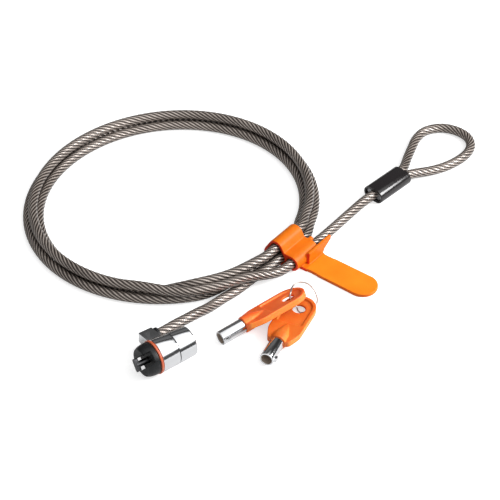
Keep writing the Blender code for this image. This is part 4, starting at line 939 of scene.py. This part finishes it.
def bendKeyRing(plan):
    mesh = bpy.data.meshes.new("ringLine")
    points = [Vector(p) * mm for p in plan["points"]]
    mesh.from_pydata(points, [(i, (i + 1) % len(points)) for i in range(len(points))], [])
    ring = newItem("ringForm", mesh)
    tree, sockets = sweepTree("wireAlongLine", "wire")
    sweep = ring.modifiers.new("wire", "NODES")
    sweep.node_group = tree
    for title, value in plan["wire"].items():
        sweep[sockets[title]] = value
    settle(ring, "keyRingWire", "wire", "ring", "key_ring", 60)


mouldKey("a", keyPlan)
mouldKey("b", keyPlan)
bendKeyRing(ringPlan)
print("keys and ring made")


# The CAD nodes that stay are inner pieces, seen through the keyway, the socket or not at all.
keptNodes = {
    "steel": ["core_plug", "nose_plate", "plate_screw_1", "plate_screw_2", "block_pin", "cable_end_stop"],
    "brass": ["driver_block"] + [f"{kind}_pin_{i}" for kind in ("key", "driver") for i in range(1, 8)],
    "wire": [f"pin_spring_{i}" for i in range(1, 8)],
    "crimp": ["crimp_ferrule"],
}


def dressKeptNodes(plan):
    for finish, names in plan.items():
        for name in names:
            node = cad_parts[name]
            node.data.materials.clear()
            node.data.materials.append(finishes[finish])


dressKeptNodes(keptNodes)


studioPlan = {
    "floorSize": 9.0, "paperGlow": 0.6, "horizonTone": 0.08,
    # where each tone starts and ends: to the right, away from the camera or upwards
    "wallTurn": {"From Min": 0.35, "From Max": 0.7, "To Min": 0.0, "To Max": 0.28},
    "wallReach": {"From Min": 0.25, "From Max": 0.6},
    "wallTop": {"From Min": 0.86, "From Max": 0.76},
    "eaves": {"From Min": 0.64, "From Max": 0.72, "To Min": 0.15, "To Max": 0.05},
    "farCorner": {"From Min": 0.12, "From Max": 0.45, "To Max": 0.03},
    "horizon": {"From Min": 0.46, "From Max": 0.32},
    "tent": {"From Min": -0.8, "From Max": 0.5, "To Min": 0.27, "To Max": 1.674},
    "lampPlace": (0.45, -0.35, 0.42), "lampSize": 0.35, "lampPower": 5.2,
}


def makeFloor(plan):
    # overexposed white paper: the camera sees it burnt out, while the object gets a paler bounce from it
    material, tree, shader, spot = startMaterial("whitePaperSweep", Roughness=0.9, Specular_IOR_Level=0.0)
    tone = addNode(tree, "ShaderNodeTexNoise", inputs={"Vector": spot, "Scale": 3.0, "Detail": 1.0})
    paper = addNode(tree, "ShaderNodeValToRGB", {"stops": [(0.0, "#D8D8D8"), (1.0, "#DEDEDE")]}, {"Fac": tone})
    seen = addNode(tree, "ShaderNodeLightPath").outputs["Is Camera Ray"]
    glow = addNode(tree, "ShaderNodeMath", {"operation": "MULTIPLY"}, {0: seen, 1: plan["paperGlow"]})
    setInputs(tree, shader, {"Base Color": paper, "Emission Color": (1, 1, 1, 1), "Emission Strength": glow})
    half = plan["floorSize"] / 2
    mesh = bpy.data.meshes.new("tableTop")
    mesh.from_pydata([(-half, -half, 0), (half, -half, 0), (half, half, 0), (-half, half, 0)], [], [(0, 1, 2, 3)])
    mesh.materials.append(material)
    newItem("tableTop", mesh)


def makeStudio(plan):
    # a white tent, brighter to the right, with a grey wall behind the object and a dark line at the horizon
    world = bpy.data.worlds.new("studioTent")
    scene.world = world
    world.use_nodes = True
    tree = world.node_tree
    tree.nodes.clear()
    smooth, number = {"interpolation_type": "SMOOTHSTEP"}, {"data_type": "FLOAT"}
    view = addNode(tree, "ShaderNodeTexCoord").outputs["Generated"]
    height = addNode(tree, "ShaderNodeSeparateXYZ", inputs={0: view}).outputs["Z"]
    away = (Vector(cameraPlan["lookAt"]) - Vector(cameraPlan["place"])).to_2d().normalized()
    far, right = [
        addNode(tree, "ShaderNodeVectorMath", {"operation": "DOT_PRODUCT"}, {0: view, 1: way}).outputs["Value"]
        for way in ((away.x, away.y, 0), (away.y, -away.x, 0))]
    # the wall turns the corner on the right
    corner = addNode(tree, "ShaderNodeMapRange", smooth, {"Value": right, **plan["wallTurn"]})
    reach = addNode(tree, "ShaderNodeMath", {"operation": "ADD"}, {0: far, 1: corner})
    behind = addNode(tree, "ShaderNodeMapRange", smooth, {"Value": reach, **plan["wallReach"]})
    under = addNode(tree, "ShaderNodeMapRange", smooth, {"Value": height, **plan["wallTop"]})
    wall = addNode(tree, "ShaderNodeMath", {"operation": "MULTIPLY"}, {0: behind, 1: under})
    eaves = addNode(tree, "ShaderNodeMapRange", smooth, {"Value": height, **plan["eaves"]})
    wallTone = addNode(tree, "ShaderNodeMapRange", smooth, {"Value": right, "To Min": eaves, **plan["farCorner"]})
    line = addNode(tree, "ShaderNodeMapRange", smooth, {"Value": height, **plan["horizon"]})
    tent = addNode(tree, "ShaderNodeMapRange", inputs={"Value": right, **plan["tent"]})
    bright = addNode(tree, "ShaderNodeMix", number, {0: wall, 2: tent, 3: wallTone})
    level = addNode(tree, "ShaderNodeMix", number, {0: line, 2: bright, 3: plan["horizonTone"]})
    # the camera itself sees plain white
    seen = addNode(tree, "ShaderNodeLightPath").outputs["Is Camera Ray"]
    shown = addNode(tree, "ShaderNodeMix", number, {0: seen, 2: level, 3: 1.0})
    sky = addNode(tree, "ShaderNodeBackground", inputs={"Strength": shown, "Color": (1, 1, 1, 1)})
    addNode(tree, "ShaderNodeOutputWorld", inputs={"Surface": sky})

    lamp = bpy.data.lights.new("softBox", "AREA")
    lamp.shape = "DISK"
    lamp.size = plan["lampSize"]
    lamp.energy = plan["lampPower"]
    box = bpy.data.objects.new("softBox", lamp)
    box.location = plan["lampPlace"]
    box.rotation_euler = (-box.location).to_track_quat("-Z", "Y").to_euler()
    scene.collection.objects.link(box)
    scene.view_settings.view_transform = "Standard"


makeFloor(studioPlan)
makeStudio(studioPlan)
print("studio made")
